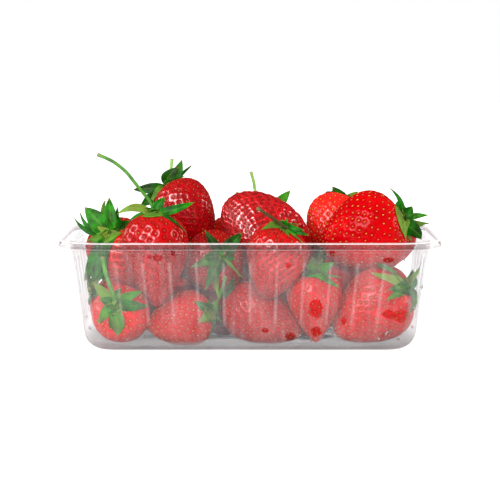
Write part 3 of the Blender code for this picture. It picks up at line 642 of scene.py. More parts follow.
def berry_shape(number, grid, skin):
    """A berry's skin with a pit round each seed, as a shape, and its seeds' places and ways.

    The height of the skin is proud - depth * pits, where the pits join smooth bells round the seeds:
    1 less the product of 1 less each bell.
    """
    rings, sides = grid
    theta = (np.arange(rings) + 0.6) / (rings + 0.2) * math.pi
    theta, turn = np.meshgrid(theta, np.linspace(0, 2 * math.pi, sides, endpoint=False), indexing="ij")
    smooth = skin_at(theta, turn, number)
    out, _ = skin_ways(theta, turn, number)
    axis = TURNS[number][:, 2]
    ends = skin_at(np.array((0.0, math.pi)), np.zeros(2), number)
    points = np.concatenate((smooth.reshape(-1, 3), ends))
    normals = np.concatenate((out.reshape(-1, 3), (-axis, axis)))
    angles = np.concatenate((theta.ravel(), (0.0, math.pi)))

    seed_theta, seed_turn = seed_angles(number, skin.spacing)
    seeds = skin_at(seed_theta, seed_turn, number)
    seed_out, seed_down = skin_ways(seed_theta, seed_turn, number)
    apart = (points**2).sum(1)[:, None] + (seeds**2).sum(1)[None] - 2 * points @ seeds.T
    bells = np.exp(-((np.maximum(apart, 0) / (skin.reach * skin.spacing) ** 2) ** PIT_SQUARE))
    pits = 1 - np.prod(1 - ONE_PIT * bells, axis=1)
    points = points + normals * (skin.depth * (PIT_PROUD - pits))[:, None]
    seeds = seeds + seed_out * (skin.depth * (PIT_PROUD - 1) + SEED_LIFT)
    values = {
        "pit": pits,
        "ripe": np.full(len(points), float(skin.ripe)),
        "shine": np.full(len(points), float(skin.shine)),
        "shoulder": np.exp(-((angles / SHOULDER_REACH) ** 2)),
    }
    return (points, *closed_faces(rings, sides), values), (seeds, seed_out, seed_down)


def seed_shapes(seeds, seed_out, seed_down, number, browned):
    """A small teardrop at each place: two rings of points, widest towards the calyx, a point at both ends."""
    chance = np.random.default_rng(SEED_DRAWS + number)
    across = np.cross(seed_down, seed_out)
    size = chance.uniform(*SEED_SIZES, len(seeds))[:, None, None]
    turn = np.tile(np.linspace(0, 2 * math.pi, SEED_SIDES, endpoint=False), 2)
    girth = np.repeat(SEED_RING_GIRTHS, SEED_SIDES)
    along = np.append(np.repeat(SEED_RING_PLACES, SEED_SIDES), (-0.5, 0.5)) * SEED_LENGTH
    aside = np.append(girth * np.cos(turn), (0.0, 0.0)) * SEED_WIDTH
    rise = np.append(girth * np.sin(turn), (0.0, 0.0)) * SEED_THICK
    offset = along[:, None] * seed_down[:, None] + aside[:, None] * across[:, None]
    points = seeds[:, None] + (offset + rise[:, None] * seed_out[:, None]) * size
    quads, tris = closed_faces(2, SEED_SIDES)
    shift = (np.arange(len(seeds)) * points.shape[1])[:, None, None]
    quads = (quads + shift).reshape(-1, 4)
    tris = (tris + shift).reshape(-1, 3)
    tone = np.repeat(0.7 * browned + 0.35 * chance.uniform(0, 1, len(seeds)), points.shape[1])
    return points.reshape(-1, 3), quads, tris, {"tone": tone}


# Leaves and stems


def calyx_place(number):
    """The calyx end of a berry, a little under its skin."""
    return PLACES[number] - TURNS[number][:, 2] * (BERRIES[number].length / 2 - CALYX_SINK)


def leaf_middle(root, tip, facing, width, phase, turn=0, bow=0):
    """A leaf's middle surface on a grid: t runs from its root to its tip and v from edge to edge.

    A place is root + chord t + side (half(t) v + bow(t)) + normal rise(t, v). half(t) swells along the
    leaf and runs to a point; rise arches the leaf, folds it up from its midrib and waves its edges.
    """
    stations, across = LEAF_GRID
    t = np.linspace(0, 1, stations)[:, None]
    v = np.linspace(-1, 1, across)[None]
    chord = tip - root
    level = unit(np.cross(chord, facing))
    upright = unit(np.cross(level, chord))
    lean = math.radians(turn)
    side = level * math.cos(lean) + upright * math.sin(lean)
    normal = upright * math.cos(lean) - level * math.sin(lean)
    reach = np.linalg.norm(chord)
    swell = np.sin(math.pi * np.clip(t, 0, 0.999) ** 0.78) ** 0.85
    half = width / 2 * (0.20 * (1 - t) ** 2 + 1.04 * swell) + 0.10
    rise = LEAF_ARCH * reach * 4 * t * (1 - t) + LEAF_FOLD * half * v**2
    rise = rise + LEAF_WAVE * np.sin(7 * t + phase) * v * t
    rise = rise + 0.25 * np.sin(19 * t + 2 * phase) * v**2 * t
    aside = half * v + bow * reach * 4 * t * (1 - t)
    return root + chord * t[..., None] + side * aside[..., None] + normal * rise[..., None]


def eased(surface):
    """Each inner row of a grid of points drawn half way to the mean of its neighbours."""
    out = surface.copy()
    out[1:-1] = 0.5 * surface[1:-1] + 0.25 * (surface[2:] + surface[:-2])
    out[:, 1:-1] = 0.6 * out[:, 1:-1] + 0.2 * (out[:, 2:] + out[:, :-2])
    return out


def leaf_shape(middle, tone):
    """A thin closed sheet round a middle surface; u and t run across and along it."""
    stations, across = middle.shape[:2]
    out = unit(np.cross(np.gradient(middle, axis=1), np.gradient(middle, axis=0)))
    count = stations * across
    taper = LEAF_SHEET / 2 * (1 - 0.5 * np.linspace(0, 1, stations))[:, None, None]
    points = np.concatenate(((middle + out * taper).reshape(-1, 3), (middle - out * taper).reshape(-1, 3)))
    here = np.arange(count).reshape(stations, across)
    top = np.stack((here[:-1, :-1], here[:-1, 1:], here[1:, 1:], here[1:, :-1]), -1).reshape(-1, 4)
    edge = np.concatenate((here[0], here[1:, -1], here[-1, -2::-1], here[-2:0:-1, 0]))
    following = np.roll(edge, -1)
    rim = np.stack((following, edge, edge + count, following + count), -1)
    t, u = np.meshgrid(np.linspace(0, 1, stations), np.linspace(0, 1, across), indexing="ij")
    values = {
        "along": np.tile(t.ravel(), 2),
        "across": np.tile(u.ravel(), 2),
        "tone": np.full(2 * count, float(tone)),
        "under": np.repeat((0.0, 1.0), count),
    }
    return points, np.concatenate((top, top[:, ::-1] + count, rim)), (), values


def laid_leaf(number, tip, width, tone, phase, facing, turn=0, bow=0):
    """One leaf from a berry's calyx to a tip, laid over the berries and inside the tray."""
    middle = leaf_middle(calyx_place(number), np.array(tip, float), facing, width, phase, turn, bow)
    for _ in range(3):
        middle = kept_in_tray(off_berries(middle, LEAF_LIFT), LEAF_TO_WALL, LEAF_TO_FLOOR)
        middle = eased(middle)
    return leaf_shape(middle, tone)


def clear_of_berries(point, number):
    """Whether a point lies outside every other berry and inside the tray."""
    for k, (berry, place, turned) in enumerate(zip(BERRIES, PLACES, TURNS)):
        local = (point - place) @ turned
        u = np.clip(-2 * local[2] / berry.length, -1, 1)
        reach = math.hypot(local[0] / berry.breadth, local[1])
        if k != number and abs(local[2]) < berry.length / 2 and reach < half_width(u, berry) + TIP_GAP:
            return False
    moved = kept_in_tray(point[None], LEAF_TO_WALL, LEAF_TO_FLOOR)[0] - point
    return np.linalg.norm(moved) < TIP_PAST_WALL


def sepals(number, length, width):
    """The ring of small leaves round a calyx: long and short take turns, and blocked ones are left out."""
    turned = TURNS[number]
    root = calyx_place(number)
    chance = np.random.default_rng(SEPAL_DRAWS + number)
    shapes = []
    for k in range(SEPALS):
        turn = 2 * math.pi * (k + chance.uniform(-0.2, 0.2)) / SEPALS
        size = 1.0 if k % 2 else SHORT_SEPAL
        lift = chance.uniform(0.05, 0.75)
        way = turned[:, 0] * math.cos(turn) + turned[:, 1] * math.sin(turn) - turned[:, 2] * lift
        tip = root + unit(way) * length * size * chance.uniform(0.85, 1.15)
        if clear_of_berries(tip, number):
            tone = chance.uniform(-0.3, 0.3)
            shapes.append(laid_leaf(number, tip, width * size, tone, SEPAL_PHASE * k, -turned[:, 2]))
    return shapes


def hub_shape(number):
    """The green dome in the middle of a calyx: half a flattened ball, turned round the berry's axis."""
    rings, sides = 5, 16
    turned = TURNS[number]
    root = calyx_place(number)
    angle = (np.arange(rings) + 1) / (rings + 0.5) * math.pi / 2
    angle, turn = np.meshgrid(angle[::-1], np.linspace(0, 2 * math.pi, sides, endpoint=False), indexing="ij")
    r = HUB_RADIUS * np.sin(angle) * (1 + 0.06 * np.sin(5 * turn + number))
    local = np.stack((r * np.cos(turn), r * np.sin(turn), -HUB_HEIGHT * np.cos(angle)), -1).reshape(-1, 3)
    local = np.concatenate((local, ((0.0, 0.0, HUB_SINK), (0.0, 0.0, -HUB_HEIGHT))))
    quads, tris = closed_faces(rings, sides)
    points = local @ turned.T + root
    count = len(points)
    values = {
        "along": np.full(count, 0.08),
        "across": np.full(count, 0.5),
        "tone": np.full(count, 0.3),
        "under": np.zeros(count),
    }
    return points, quads[:, ::-1], tris[:, ::-1], values


def stem_shape(path, radius, sides, tone=0.0):
    """A round stem along a path: a circle carried along it, a little swollen at both ends and cut flat."""
    ways = unit(np.gradient(path, axis=0))
    x = unit(np.cross(ways, (0.1, 1.0, 0.2)))
    y = np.cross(ways, x)
    run = np.linspace(0, 1, len(path))
    girth = radius * (1 + 0.35 * np.exp(-((run / 0.06) ** 2)) + 0.14 * np.exp(-(((1 - run) / 0.05) ** 2)))
    turn = np.linspace(0, 2 * math.pi, sides, endpoint=False)
    ribs = 1 + 0.05 * np.sin(3 * turn)
    circle = x[:, None] * (np.cos(turn) * ribs)[:, None] + y[:, None] * (np.sin(turn) * ribs)[:, None]
    points = path[:, None] + circle * girth[:, None, None]
    ends = np.stack((path[0] - ways[0] * 0.2, path[-1] + ways[-1] * 0.12))
    points = np.concatenate((points.reshape(-1, 3), ends))
    along = np.concatenate((np.repeat(run, sides), (0.0, 1.2)))
    values = {"along": along, "tone": np.full(len(points), float(tone))}
    return points, *closed_faces(len(path), sides), values


def stem_for(number):
    """A berry's stem: the long one that shows, or a short stub where there is room for it."""
    name = BERRIES[number].name
    root = calyx_place(number)
    stations, sides = STEM_GRID
    if name in STEMS:
        path, radius, tone = STEMS[name]
        return stem_shape(smooth_path((root, *path), stations), radius, sides, tone)
    axis = TURNS[number][:, 2]
    end = root - axis * STUB_LENGTH
    if not clear_of_berries(end, number):
        return None
    bend = root - axis * STUB_LENGTH / 2 + TURNS[number][:, 0] * STUB_BEND
    return stem_shape(smooth_path((root, bend, end), STUB_STEPS), STUB_RADIUS, sides)


def core_shape():
    """The core of the heap: a flattened ball with a squarer outline and bumps of a berry's size."""
    rings, sides = CORE_GRID
    theta = (np.arange(rings) + 0.5) / rings * math.pi
    theta, turn = np.meshgrid(theta, np.linspace(0, 2 * math.pi, sides, endpoint=False), indexing="ij")
    squared = (np.abs(np.cos(turn)) ** 4 + np.abs(np.sin(turn)) ** 4) ** -0.25
    bumps = 1 + 0.05 * np.sin(7 * turn) * np.sin(3 * theta)
    r = np.sin(theta) ** 0.5 * squared * bumps
    x = CORE_HALF_LENGTH * r * np.cos(turn)
    y = CORE_HALF_WIDTH * r * np.sin(turn)
    z = CORE_MIDDLE - CORE_HALF_HEIGHT * np.cos(theta) * bumps
    ends = ((0, 0, CORE_MIDDLE - CORE_HALF_HEIGHT), (0, 0, CORE_MIDDLE + CORE_HALF_HEIGHT))
    points = np.concatenate((np.stack((x, y, z), -1).reshape(-1, 3), ends))
    return points, *closed_faces(rings, sides), {}


# Tray


def round_the_tray():
    """Stops round the tray: which side, how far along its straight or turned into its corner, flute share.

    The flute share is a raised cosine across each flute, 1 in its middle and 0 between flutes.
    """
    quarter, straight, corner_angle, flute = [], [], [], []
    for side, flutes in enumerate((FLUTES_SHORT_SIDE, FLUTES_LONG_SIDE) * 2):
        count = flutes * STOPS_A_FLUTE
        stops = (np.arange(count) + 0.5) / count * 2 - 1
        run = (stops * flutes / 2 + flutes / 2) % 1 - 0.5
        near = np.abs(run) * FLUTE_PITCH / (FLUTE_WIDTH / 2)
        turns = np.linspace(0, math.pi / 2, CORNER_STEPS + 1)
        quarter += [np.full(count + len(turns), side)]
        straight += [stops, np.ones(len(turns))]
        corner_angle += [np.zeros(count), turns]
        flute += [np.where(near < 1, 0.5 + 0.5 * np.cos(math.pi * near), 0), np.zeros(len(turns))]
    return tuple(np.concatenate(a) for a in (quarter, straight, corner_angle, flute))


def tray_rows():
    """The tray's section from under its middle, up the outside and back down the inside.

    Each row is a half length, a corner radius, a height and a flute depth.
    """
    lean = math.atan(WALL_LEAN)
    round_middle = wall_out(BASE_ROUND) - BASE_ROUND / math.cos(lean)

    def panel_rows(up):
        outer = (PANEL_HALF_LENGTH + PANEL_SLOPE, PANEL_CORNER + PANEL_SLOPE, up, 0.0)
        inner = (PANEL_HALF_LENGTH, PANEL_CORNER, PANEL_RAISE + up, 0.0)
        middle = (PANEL_HALF_LENGTH - PANEL_MIDDLE_IN, PANEL_CORNER, PANEL_RAISE + up, 0.0)
        return [middle, inner, outer]

    def round_rows(radius):
        angle = np.linspace(0, math.pi / 2 - lean, 10)
        out_by = radius * np.sin(angle)
        heights = BASE_ROUND - radius * np.cos(angle)
        return [(round_middle + o, WALL_CORNER - BASE_ROUND + o, z, 0.0) for o, z in zip(out_by, heights)]

    def wall_rows(inset):
        rise = np.linspace(0, 1, 6)
        depth = FLUTE_DEPTH * (0.5 - 0.5 * np.cos(math.pi * rise))
        foot = FLUTE_FOOT + FLUTE_RUN_OUT * rise
        head = FLUTE_HEAD - FLUTE_RUN_OUT * rise[::-1]
        middle = np.linspace(foot[-1], head[0], 8)[1:-1]
        heights = np.concatenate((foot, middle, head))
        depths = np.concatenate((depth, np.full(len(middle), FLUTE_DEPTH), depth[::-1]))
        rows = [(wall_out(z) - inset, WALL_CORNER - inset, z, d) for z, d in zip(heights, depths)]
        out = wall_out(STEP_HEIGHT) - inset
        corner = WALL_CORNER - inset
        step = (out + STEP_OUT, corner + STEP_OUT, STEP_HEIGHT + STEP_OUT, 0.0)
        return rows + [(out, corner, STEP_HEIGHT, 0.0), step]

    mouth = RIM_LENGTH / 2 - FLANGE
    edge = RIM_LENGTH / 2
    rim = [
        (mouth + SHEET, RIM_CORNER - FLANGE + SHEET, RIM_HEIGHT - SHEET, 0.0),
        (edge - SHEET - LIP_FLARE, RIM_CORNER - SHEET - LIP_FLARE, RIM_HEIGHT - SHEET, 0.0),
        (edge - SHEET, RIM_CORNER - SHEET, RIM_HEIGHT - LIP_DROP, 0.0),
        (edge, RIM_CORNER, RIM_HEIGHT - LIP_DROP, 0.0),
        (edge - LIP_FLARE, RIM_CORNER - LIP_FLARE, RIM_HEIGHT, 0.0),
        (mouth, RIM_CORNER - FLANGE, RIM_HEIGHT, 0.0),
    ]
    inside = wall_rows(SHEET)[::-1] + round_rows(BASE_ROUND - SHEET)[::-1] + panel_rows(SHEET)[::-1]
    return np.array(panel_rows(0.0) + round_rows(BASE_ROUND) + wall_rows(0.0) + rim + inside)


def rounded(rows, radius):
    """A section with each inner corner cut to a short curve through three points."""
    before = rows[:-2] - rows[1:-1]
    after = rows[2:] - rows[1:-1]
    corner = rows[1:-1]
    lengths = [np.hypot(way[:, 0], way[:, 2])[:, None] for way in (before, after)]
    start = corner + before * np.minimum(radius / lengths[0], 0.4)
    end = corner + after * np.minimum(radius / lengths[1], 0.4)
    middle = 0.25 * start + 0.5 * corner + 0.25 * end
    cut = np.stack((start, middle, end), 1).reshape(-1, rows.shape[1])
    return np.concatenate((rows[:1], cut, rows[-1:]))


def tray_shape():
    """The tray as one closed thin solid: each row of its section carried round it.

    Round the tray a place is straight x side + corner radius x (cos, sin), with the flutes pressed in.
    """
    rows = rounded(tray_rows(), BEND_RADIUS)
    quarter, straight, angle, flute = round_the_tray()
    half_length, corner, height, depth = (rows[:, k][:, None] for k in range(4))
    turned = quarter * math.pi / 2 + angle
    out = corner - depth * flute
    at_end = quarter % 2 == 0
    sign = np.where(quarter < 2, 1, -1)
    to_x = np.where(at_end, 1.0, -straight) * sign
    to_y = np.where(at_end, straight, 1.0) * sign
    x = (half_length - corner) * to_x + out * np.cos(turned)
    y = (half_length - LENGTH_LESS_WIDTH - corner) * to_y + out * np.sin(turned)
    z = height + np.zeros_like(x)
    ends = ((0, 0, PANEL_RAISE), (0, 0, PANEL_RAISE + SHEET))
    points = np.concatenate((np.stack((x, y, z), -1).reshape(-1, 3), ends))
    lip = half_length > RIM_LENGTH / 2 - LIP_FLARE - LIP_MARGIN
    values = {
        "mirror": np.interp(points[:, 2], MIRROR_HEIGHTS, MIRROR_SHARES),
        "lip": np.append(lip + 0 * x, (0, 0)),
        "flute": np.append(depth / FLUTE_DEPTH * flute, (0, 0)),
    }
    return points, *closed_faces(*x.shape), values


def front_wall(height):
    """Place along Y of the inner face of the front wall at a height."""
    return -(wall_out(height) - LENGTH_LESS_WIDTH - SHEET)


def drop_shapes():
    """Drops on the wall: each a low dome, 1 - r^2 high, whose round foot is stretched upright a little."""
    rings, sides = DROP_GRID
    r = np.linspace(1.0, 0.25, rings)
    r, turn = np.meshgrid(r, np.linspace(0, 2 * math.pi, sides, endpoint=False), indexing="ij")
    quads, tris = closed_faces(rings, sides)
    shapes = []
    for k, (x, height, radius) in enumerate(DROPS):
        wobble = 1 + 0.14 * np.sin(2 * turn + k) + 0.08 * np.sin(3 * turn + 2.3 * k)
        aside = radius * r * np.cos(turn) * wobble
        z = height + radius * r * np.sin(turn) * wobble * DROP_STRETCH
        y = front_wall(z) + DROP_RISE * radius * (1 - r**2) + DROP_OFF_WALL
        foot = front_wall(height)
        ends = ((x, foot, height), (x, foot + DROP_RISE * radius, height))
        points = np.concatenate((np.stack((x + aside, y, z), -1).reshape(-1, 3), ends))
        shapes.append((points, quads[:, ::-1], tris[:, ::-1], {}))
    return joined(shapes)


# Materials


def linear(colour):
    """A hex colour in sRGB as linear red, green and blue, with an alpha of 1."""
    parts = [int(colour[k:k + 2], 16) / 255 for k in (1, 3, 5)]
    return (*(c / 12.92 if c <= 0.04045 else ((c + 0.055) / 1.055) ** 2.4 for c in parts), 1.0)


def across_mm(size):
    """The scale of a pattern on Object coordinates whose features are this many millimetres across."""
    return 1 / (size * MM)


def add(tree, kind, sockets=None, **settings):
    """Add a node, set its properties, and set each of its sockets or link it to an output.

    A socket that is given a hex colour gets the linear one.
    """
    made = tree.nodes.new("ShaderNode" + kind)
    for key, value in settings.items():
        setattr(made, key, value)
    for key, value in (sockets or {}).items():
        if isinstance(value, bpy.types.NodeSocket):
            tree.links.new(value, made.inputs[key])
        else:
            made.inputs[key].default_value = linear(value) if isinstance(value, str) else value
    return made


def new_material(name):
    """A material and its empty tree."""
    material = bpy.data.materials.new(name)
    material.use_nodes = True
    material.node_tree.nodes.clear()
    return material, material.node_tree


def surfaced(material, shader):
    """The material, with a shader as its surface."""
    add(material.node_tree, "OutputMaterial", {"Surface": shader.outputs[0]})
    return material


def layered(tree, colour, layers):
    """A colour with others laid over it in turn, each by its share."""
    for share, over in layers:
        colour = add(tree, "Mix", {0: share, 6: colour, 7: over}, data_type="RGBA").outputs[2]
    return colour


def both_ways(tree, value):
    """A value from -1 to 1 as two shares: how far it lies above 0, and how far below."""
    above = add(tree, "Math", {0: value, 1: 0.0}, operation="MAXIMUM").outputs[0]
    below = add(tree, "Math", {0: value, 1: -1.0}, operation="MULTIPLY", use_clamp=True).outputs[0]
    return above, below


def strawberry_skin():
    """Ripe strawberry skin, grown, thin and wet-looking with its natural wax.

    To the eye it is a dark clean red that glows a little at its edges, paler under the calyx, with small
    hard highlights that break up over the pits. The pits round the seeds are darkened with painted shade.
    """
    material, tree = new_material("strawberry_skin")
    place = add(tree, "TexCoord").outputs["Object"]
    pit, ripe, shoulder, shine = (
        add(tree, "Attribute", attribute_name=name).outputs["Fac"]
        for name in ("pit", "ripe", "shoulder", "shine"))
    patches = add(tree, "TexNoise", {"Vector": place, "Scale": across_mm(11.0), "Detail": 2.0}).outputs[0]
    mottle = add(tree, "TexNoise", {"Vector": place, "Scale": across_mm(1.6), "Detail": 3.0}).outputs[0]
    # The cells of the skin are drawn a few times their real size, so that they show.
    grain = add(tree, "TexNoise", {"Vector": place, "Scale": across_mm(0.45), "Detail": 2.0}).outputs[0]
    spread = add(tree, "MapRange", {0: patches, 1: 0.35, 2: 0.68}).outputs[0]
    # Ripeness lightens or darkens the red; on behind_wall the darkening is painted shade.
    lighter, darker = both_ways(tree, ripe)
    fleck = add(tree, "MapRange", {0: mottle, 1: 0.45, 2: 0.72, 3: 0.0, 4: 0.2}).outputs[0]
    pale = add(tree, "Math", {0: shoulder, 1: 0.12}, operation="MULTIPLY").outputs[0]
    # Painted shade: the red is darkened in the pits round the seeds, the more so the shinier the berry.
    darkest_pit_shade = add(tree, "MapRange", {0: shine, 1: 0.1, 2: 2.0, 3: 0.38, 4: 0.85}).outputs[0]
    pit_shade = add(tree, "MapRange", {0: pit, 1: 0.35, 2: 1.0, 3: 0.0, 4: darkest_pit_shade}).outputs[0]
    red = layered(tree, "#a60005", (
        (spread, "#c60007"),
        (lighter, "#f0241a"),
        (darker, "#800006"),
        (fleck, "#d4040a"),
        (pale, "#e04830"),
        (pit_shade, "#640004"),
    ))
    rough = add(tree, "MapRange", {0: mottle, 1: 0.3, 2: 0.7, 3: 0.14, 4: 0.26}).outputs[0]
    dull = add(tree, "MapRange", {0: pit, 1: 0.15, 2: 0.7, 3: 0.0, 4: 0.30}).outputs[0]
    rough = add(tree, "Math", {0: rough, 1: dull}, operation="ADD").outputs[0]
    ridge = add(tree, "MapRange", {0: pit, 1: 0.15, 2: 0.7, 3: 1.0, 4: 0.15}).outputs[0]
    ridge = add(tree, "Math", {0: ridge, 1: shine}, operation="MULTIPLY").outputs[0]
    mirrored = add(tree, "Math", {0: ridge, 1: 0.5}, operation="MULTIPLY").outputs[0]
    wax = add(tree, "Math", {0: ridge, 1: 0.35}, operation="MULTIPLY").outputs[0]
    bump = add(tree, "Bump", {"Strength": 0.35, "Distance": 0.10 * MM, "Height": grain})
    shader = add(tree, "BsdfPrincipled", {
        "Base Color": red, "Roughness": rough, "Normal": bump.outputs[0],
        "IOR": 1.40, "Specular IOR Level": mirrored,
        "Subsurface Weight": 0.15, "Subsurface Radius": (1.0, 0.18, 0.10), "Subsurface Scale": 2.5 * MM,
        "Coat Weight": wax, "Coat Roughness": 0.08,
    })
    return surfaced(material, shader)


def seed_husk():
    """Strawberry seed, a dry smooth husk: straw yellow, most of them browned to a dull red."""
    material, tree = new_material("seed_husk")
    tone = add(tree, "Attribute", attribute_name="tone").outputs["Fac"]
    place = add(tree, "TexCoord").outputs["Object"]
    shade = add(tree, "TexNoise", {"Vector": place, "Scale": across_mm(1.1), "Detail": 1.0}).outputs[0]
    browned = add(tree, "MapRange", {0: tone, 1: 0.15, 2: 0.95}).outputs[0]
    shaded = add(tree, "MapRange", {0: shade, 1: 0.5, 2: 0.75, 3: 0.0, 4: 0.45}).outputs[0]
    colour = layered(tree, "#dca834", ((browned, "#84100a"), (shaded, "#8a3a12")))
    shader = add(tree, "BsdfPrincipled", {
        "Base Color": colour, "Roughness": 0.42, "IOR": 1.45, "Specular IOR Level": 0.4,
    })
    return surfaced(material, shader)


def sepal_leaf():
    """Strawberry leaf, fresh, thin and finely downy: green with a pale midrib and fine long veins.

    The underside is paler and greyer, the tips are a little dry, and light comes through it softly.
    """
    material, tree = new_material("sepal_leaf")
    along, across, tone, under = (
        add(tree, "Attribute", attribute_name=name).outputs["Fac"]
        for name in ("along", "across", "tone", "under"))
    place = add(tree, "TexCoord").outputs["Object"]
    patches = add(tree, "TexNoise", {"Vector": place, "Scale": across_mm(5.0), "Detail": 3.0}).outputs[0]
    # The down is drawn coarser than the real hairs, so that it shows.
    down = add(tree, "TexNoise", {"Vector": place, "Scale": across_mm(0.35), "Detail": 2.0}).outputs[0]
    side = add(tree, "Math", {0: across, 1: 0.5}, operation="SUBTRACT").outputs[0]
    side = add(tree, "Math", {0: side}, operation="ABSOLUTE").outputs[0]
    midrib = add(tree, "MapRange", {0: side, 1: 0.09, 2: 0.0}, interpolation_type="SMOOTHSTEP").outputs[0]
    # On a leaf 5 mm by 11 mm the veins are 0.31 mm apart and 5 mm long. The tone shifts them on each leaf.
    sheet = add(tree, "CombineXYZ", {0: across, 1: along, 2: tone}).outputs[0]
    veins_over = (5.0 / 0.3125, 11.0 / 5.0, 9.0)
    stretched = add(tree, "VectorMath", {0: sheet, 1: veins_over}, operation="MULTIPLY").outputs[0]
    veins = add(tree, "TexNoise", {"Vector": stretched, "Scale": 1.0, "Detail": 2.0}).outputs[0]
    spread = add(tree, "MapRange", {0: patches, 1: 0.38, 2: 0.62}).outputs[0]
    vein = add(tree, "MapRange", {0: veins, 1: 0.52, 2: 0.68, 3: 0.0, 4: 0.40}).outputs[0]
    lighter, darker = both_ways(tree, tone)
    pale_under = add(tree, "Math", {0: under, 1: 0.25}, operation="MULTIPLY").outputs[0]
    rib = add(tree, "Math", {0: midrib, 1: 0.15}, operation="MULTIPLY").outputs[0]
    root = add(tree, "MapRange", {0: along, 1: 0.16, 2: 0.0, 3: 0.0, 4: 0.6}).outputs[0]
    dry = add(tree, "MapRange", {0: along, 1: 0.90, 2: 1.0, 3: 0.0, 4: 0.8}).outputs[0]
    green = layered(tree, "#033c01", (
        (spread, "#0f7a04"),
        (vein, "#2a880a"),
        (lighter, "#7c8a34"),
        (darker, "#141e02"),
        (pale_under, "#4a7836"),
        (rib, "#84a648"),
        (root, "#868a38"),
        (dry, "#8a6c2c"),
    ))
    ribs = add(tree, "Bump", {"Strength": 0.5, "Distance": 0.25 * MM, "Height": veins}).outputs[0]
    fine = add(tree, "Bump", {"Strength": 0.3, "Distance": 0.08 * MM, "Height": down, "Normal": ribs})
    shader = add(tree, "BsdfPrincipled", {
        "Base Color": green, "Roughness": 0.50, "Normal": fine.outputs[0], "IOR": 1.42,
        "Specular IOR Level": 0.12, "Sheen Weight": 0.02, "Sheen Roughness": 0.4,
        "Subsurface Weight": 0.15, "Subsurface Radius": (0.5, 1.0, 0.15), "Subsurface Scale": 0.8 * MM,
    })
    return surfaced(material, shader)


def stem_green():
    """Strawberry stem, grown and downy: light green to dark olive with faint streaks, tan at its cut end."""
    material, tree = new_material("stem_green")
    along, tone = (add(tree, "Attribute", attribute_name=name).outputs["Fac"] for name in ("along", "tone"))
    place = add(tree, "TexCoord").outputs["Object"]
    streaks = add(tree, "TexNoise", {"Vector": place, "Scale": across_mm(3.5), "Detail": 2.0}).outputs[0]
    spread = add(tree, "MapRange", {0: streaks, 1: 0.35, 2: 0.65}).outputs[0]
    olive, light = both_ways(tree, tone)
    pale = add(tree, "MapRange", {0: along, 1: 0.90, 2: 0.98, 3: 0.0, 4: 0.15}).outputs[0]
    cut = add(tree, "MapRange", {0: along, 1: 0.975, 2: 1.0, 3: 0.0, 4: 0.9}).outputs[0]
    colour = layered(tree, "#2c6410", (
        (spread, "#4a8a20"),
        (olive, "#3c300a"),
        (light, "#9cc45c"),
        (pale, "#c2c47c"),
        (cut, "#7a5a34"),
    ))
    bump = add(tree, "Bump", {"Strength": 0.4, "Distance": 0.12 * MM, "Height": streaks})
    shader = add(tree, "BsdfPrincipled", {
        "Base Color": colour, "Roughness": 0.5, "Normal": bump.outputs[0],
        "IOR": 1.42, "Specular IOR Level": 0.4,
        "Subsurface Weight": 0.2, "Subsurface Radius": (0.5, 1.0, 0.2), "Subsurface Scale": 0.8 * MM,
    })
    return surfaced(material, shader)


def core_flesh():
    """The dark of the heap's inside: berry flesh in shadow, which closes the gaps between berries."""
    material, tree = new_material("core_flesh")
    place = add(tree, "TexCoord").outputs["Object"]
    patches = add(tree, "TexNoise", {"Vector": place, "Scale": across_mm(6.0), "Detail": 3.0}).outputs[0]
    colour = layered(tree, "#4a0206", ((patches, "#7e060c"),))
    shader = add(tree, "BsdfPrincipled", {"Base Color": colour, "Roughness": 0.4, "IOR": 1.40})
    return surfaced(material, shader)


def dry_share(tree, place):
    """1 where the wall is hazy and nearly 0 where a wet berry touches it: ragged ovals at the wet spots."""
    away = 10.0  # in half widths of a spot, farther than any reaches
    for x, height, across, up in WET_SPOTS:
        middle = (x * MM, 0.0, height * MM)
        scale = (across_mm(across), 0.0, across_mm(up))
        near = add(tree, "VectorMath", {0: place, 1: middle}, operation="SUBTRACT").outputs[0]
        near = add(tree, "VectorMath", {0: near, 1: scale}, operation="MULTIPLY").outputs[0]
        near = add(tree, "VectorMath", {0: near}, operation="LENGTH").outputs["Value"]
        away = add(tree, "Math", {0: away, 1: near}, operation="MINIMUM").outputs[0]
    ragged = add(tree, "TexNoise", {"Vector": place, "Scale": across_mm(2.6), "Detail": 2.0}).outputs[0]
    ragged = add(tree, "MapRange", {0: ragged, 1: 0.3, 2: 0.7, 3: -0.13, 4: 0.13}).outputs[0]
    away = add(tree, "Math", {0: away, 1: ragged}, operation="ADD").outputs[0]
    depth = add(tree, "SeparateXYZ", {0: place}).outputs["Y"]
    behind = add(tree, "Math", {0: depth, 1: -30 * MM}, operation="GREATER_THAN").outputs[0]
    dry = add(tree, "MapRange", {0: away, 1: 0.90, 2: 1.05, 3: 0.08, 4: 1.0}).outputs[0]
    return add(tree, "Math", {0: dry, 1: behind}, operation="MAXIMUM").outputs[0]


def painted_highlight_line(tree, height, at, strength):
    """A fine painted highlight along the rim at one height, where the cut plastic would catch the light."""
    off = add(tree, "Math", {0: height, 1: at * MM}, operation="SUBTRACT").outputs[0]
    off = add(tree, "Math", {0: off}, operation="ABSOLUTE").outputs[0]
    half = LINE_HALF_WIDTH * MM
    return add(tree, "MapRange", {0: off, 1: 0.5 * half, 2: 1.5 * half, 3: strength, 4: 0.0}).outputs[0]


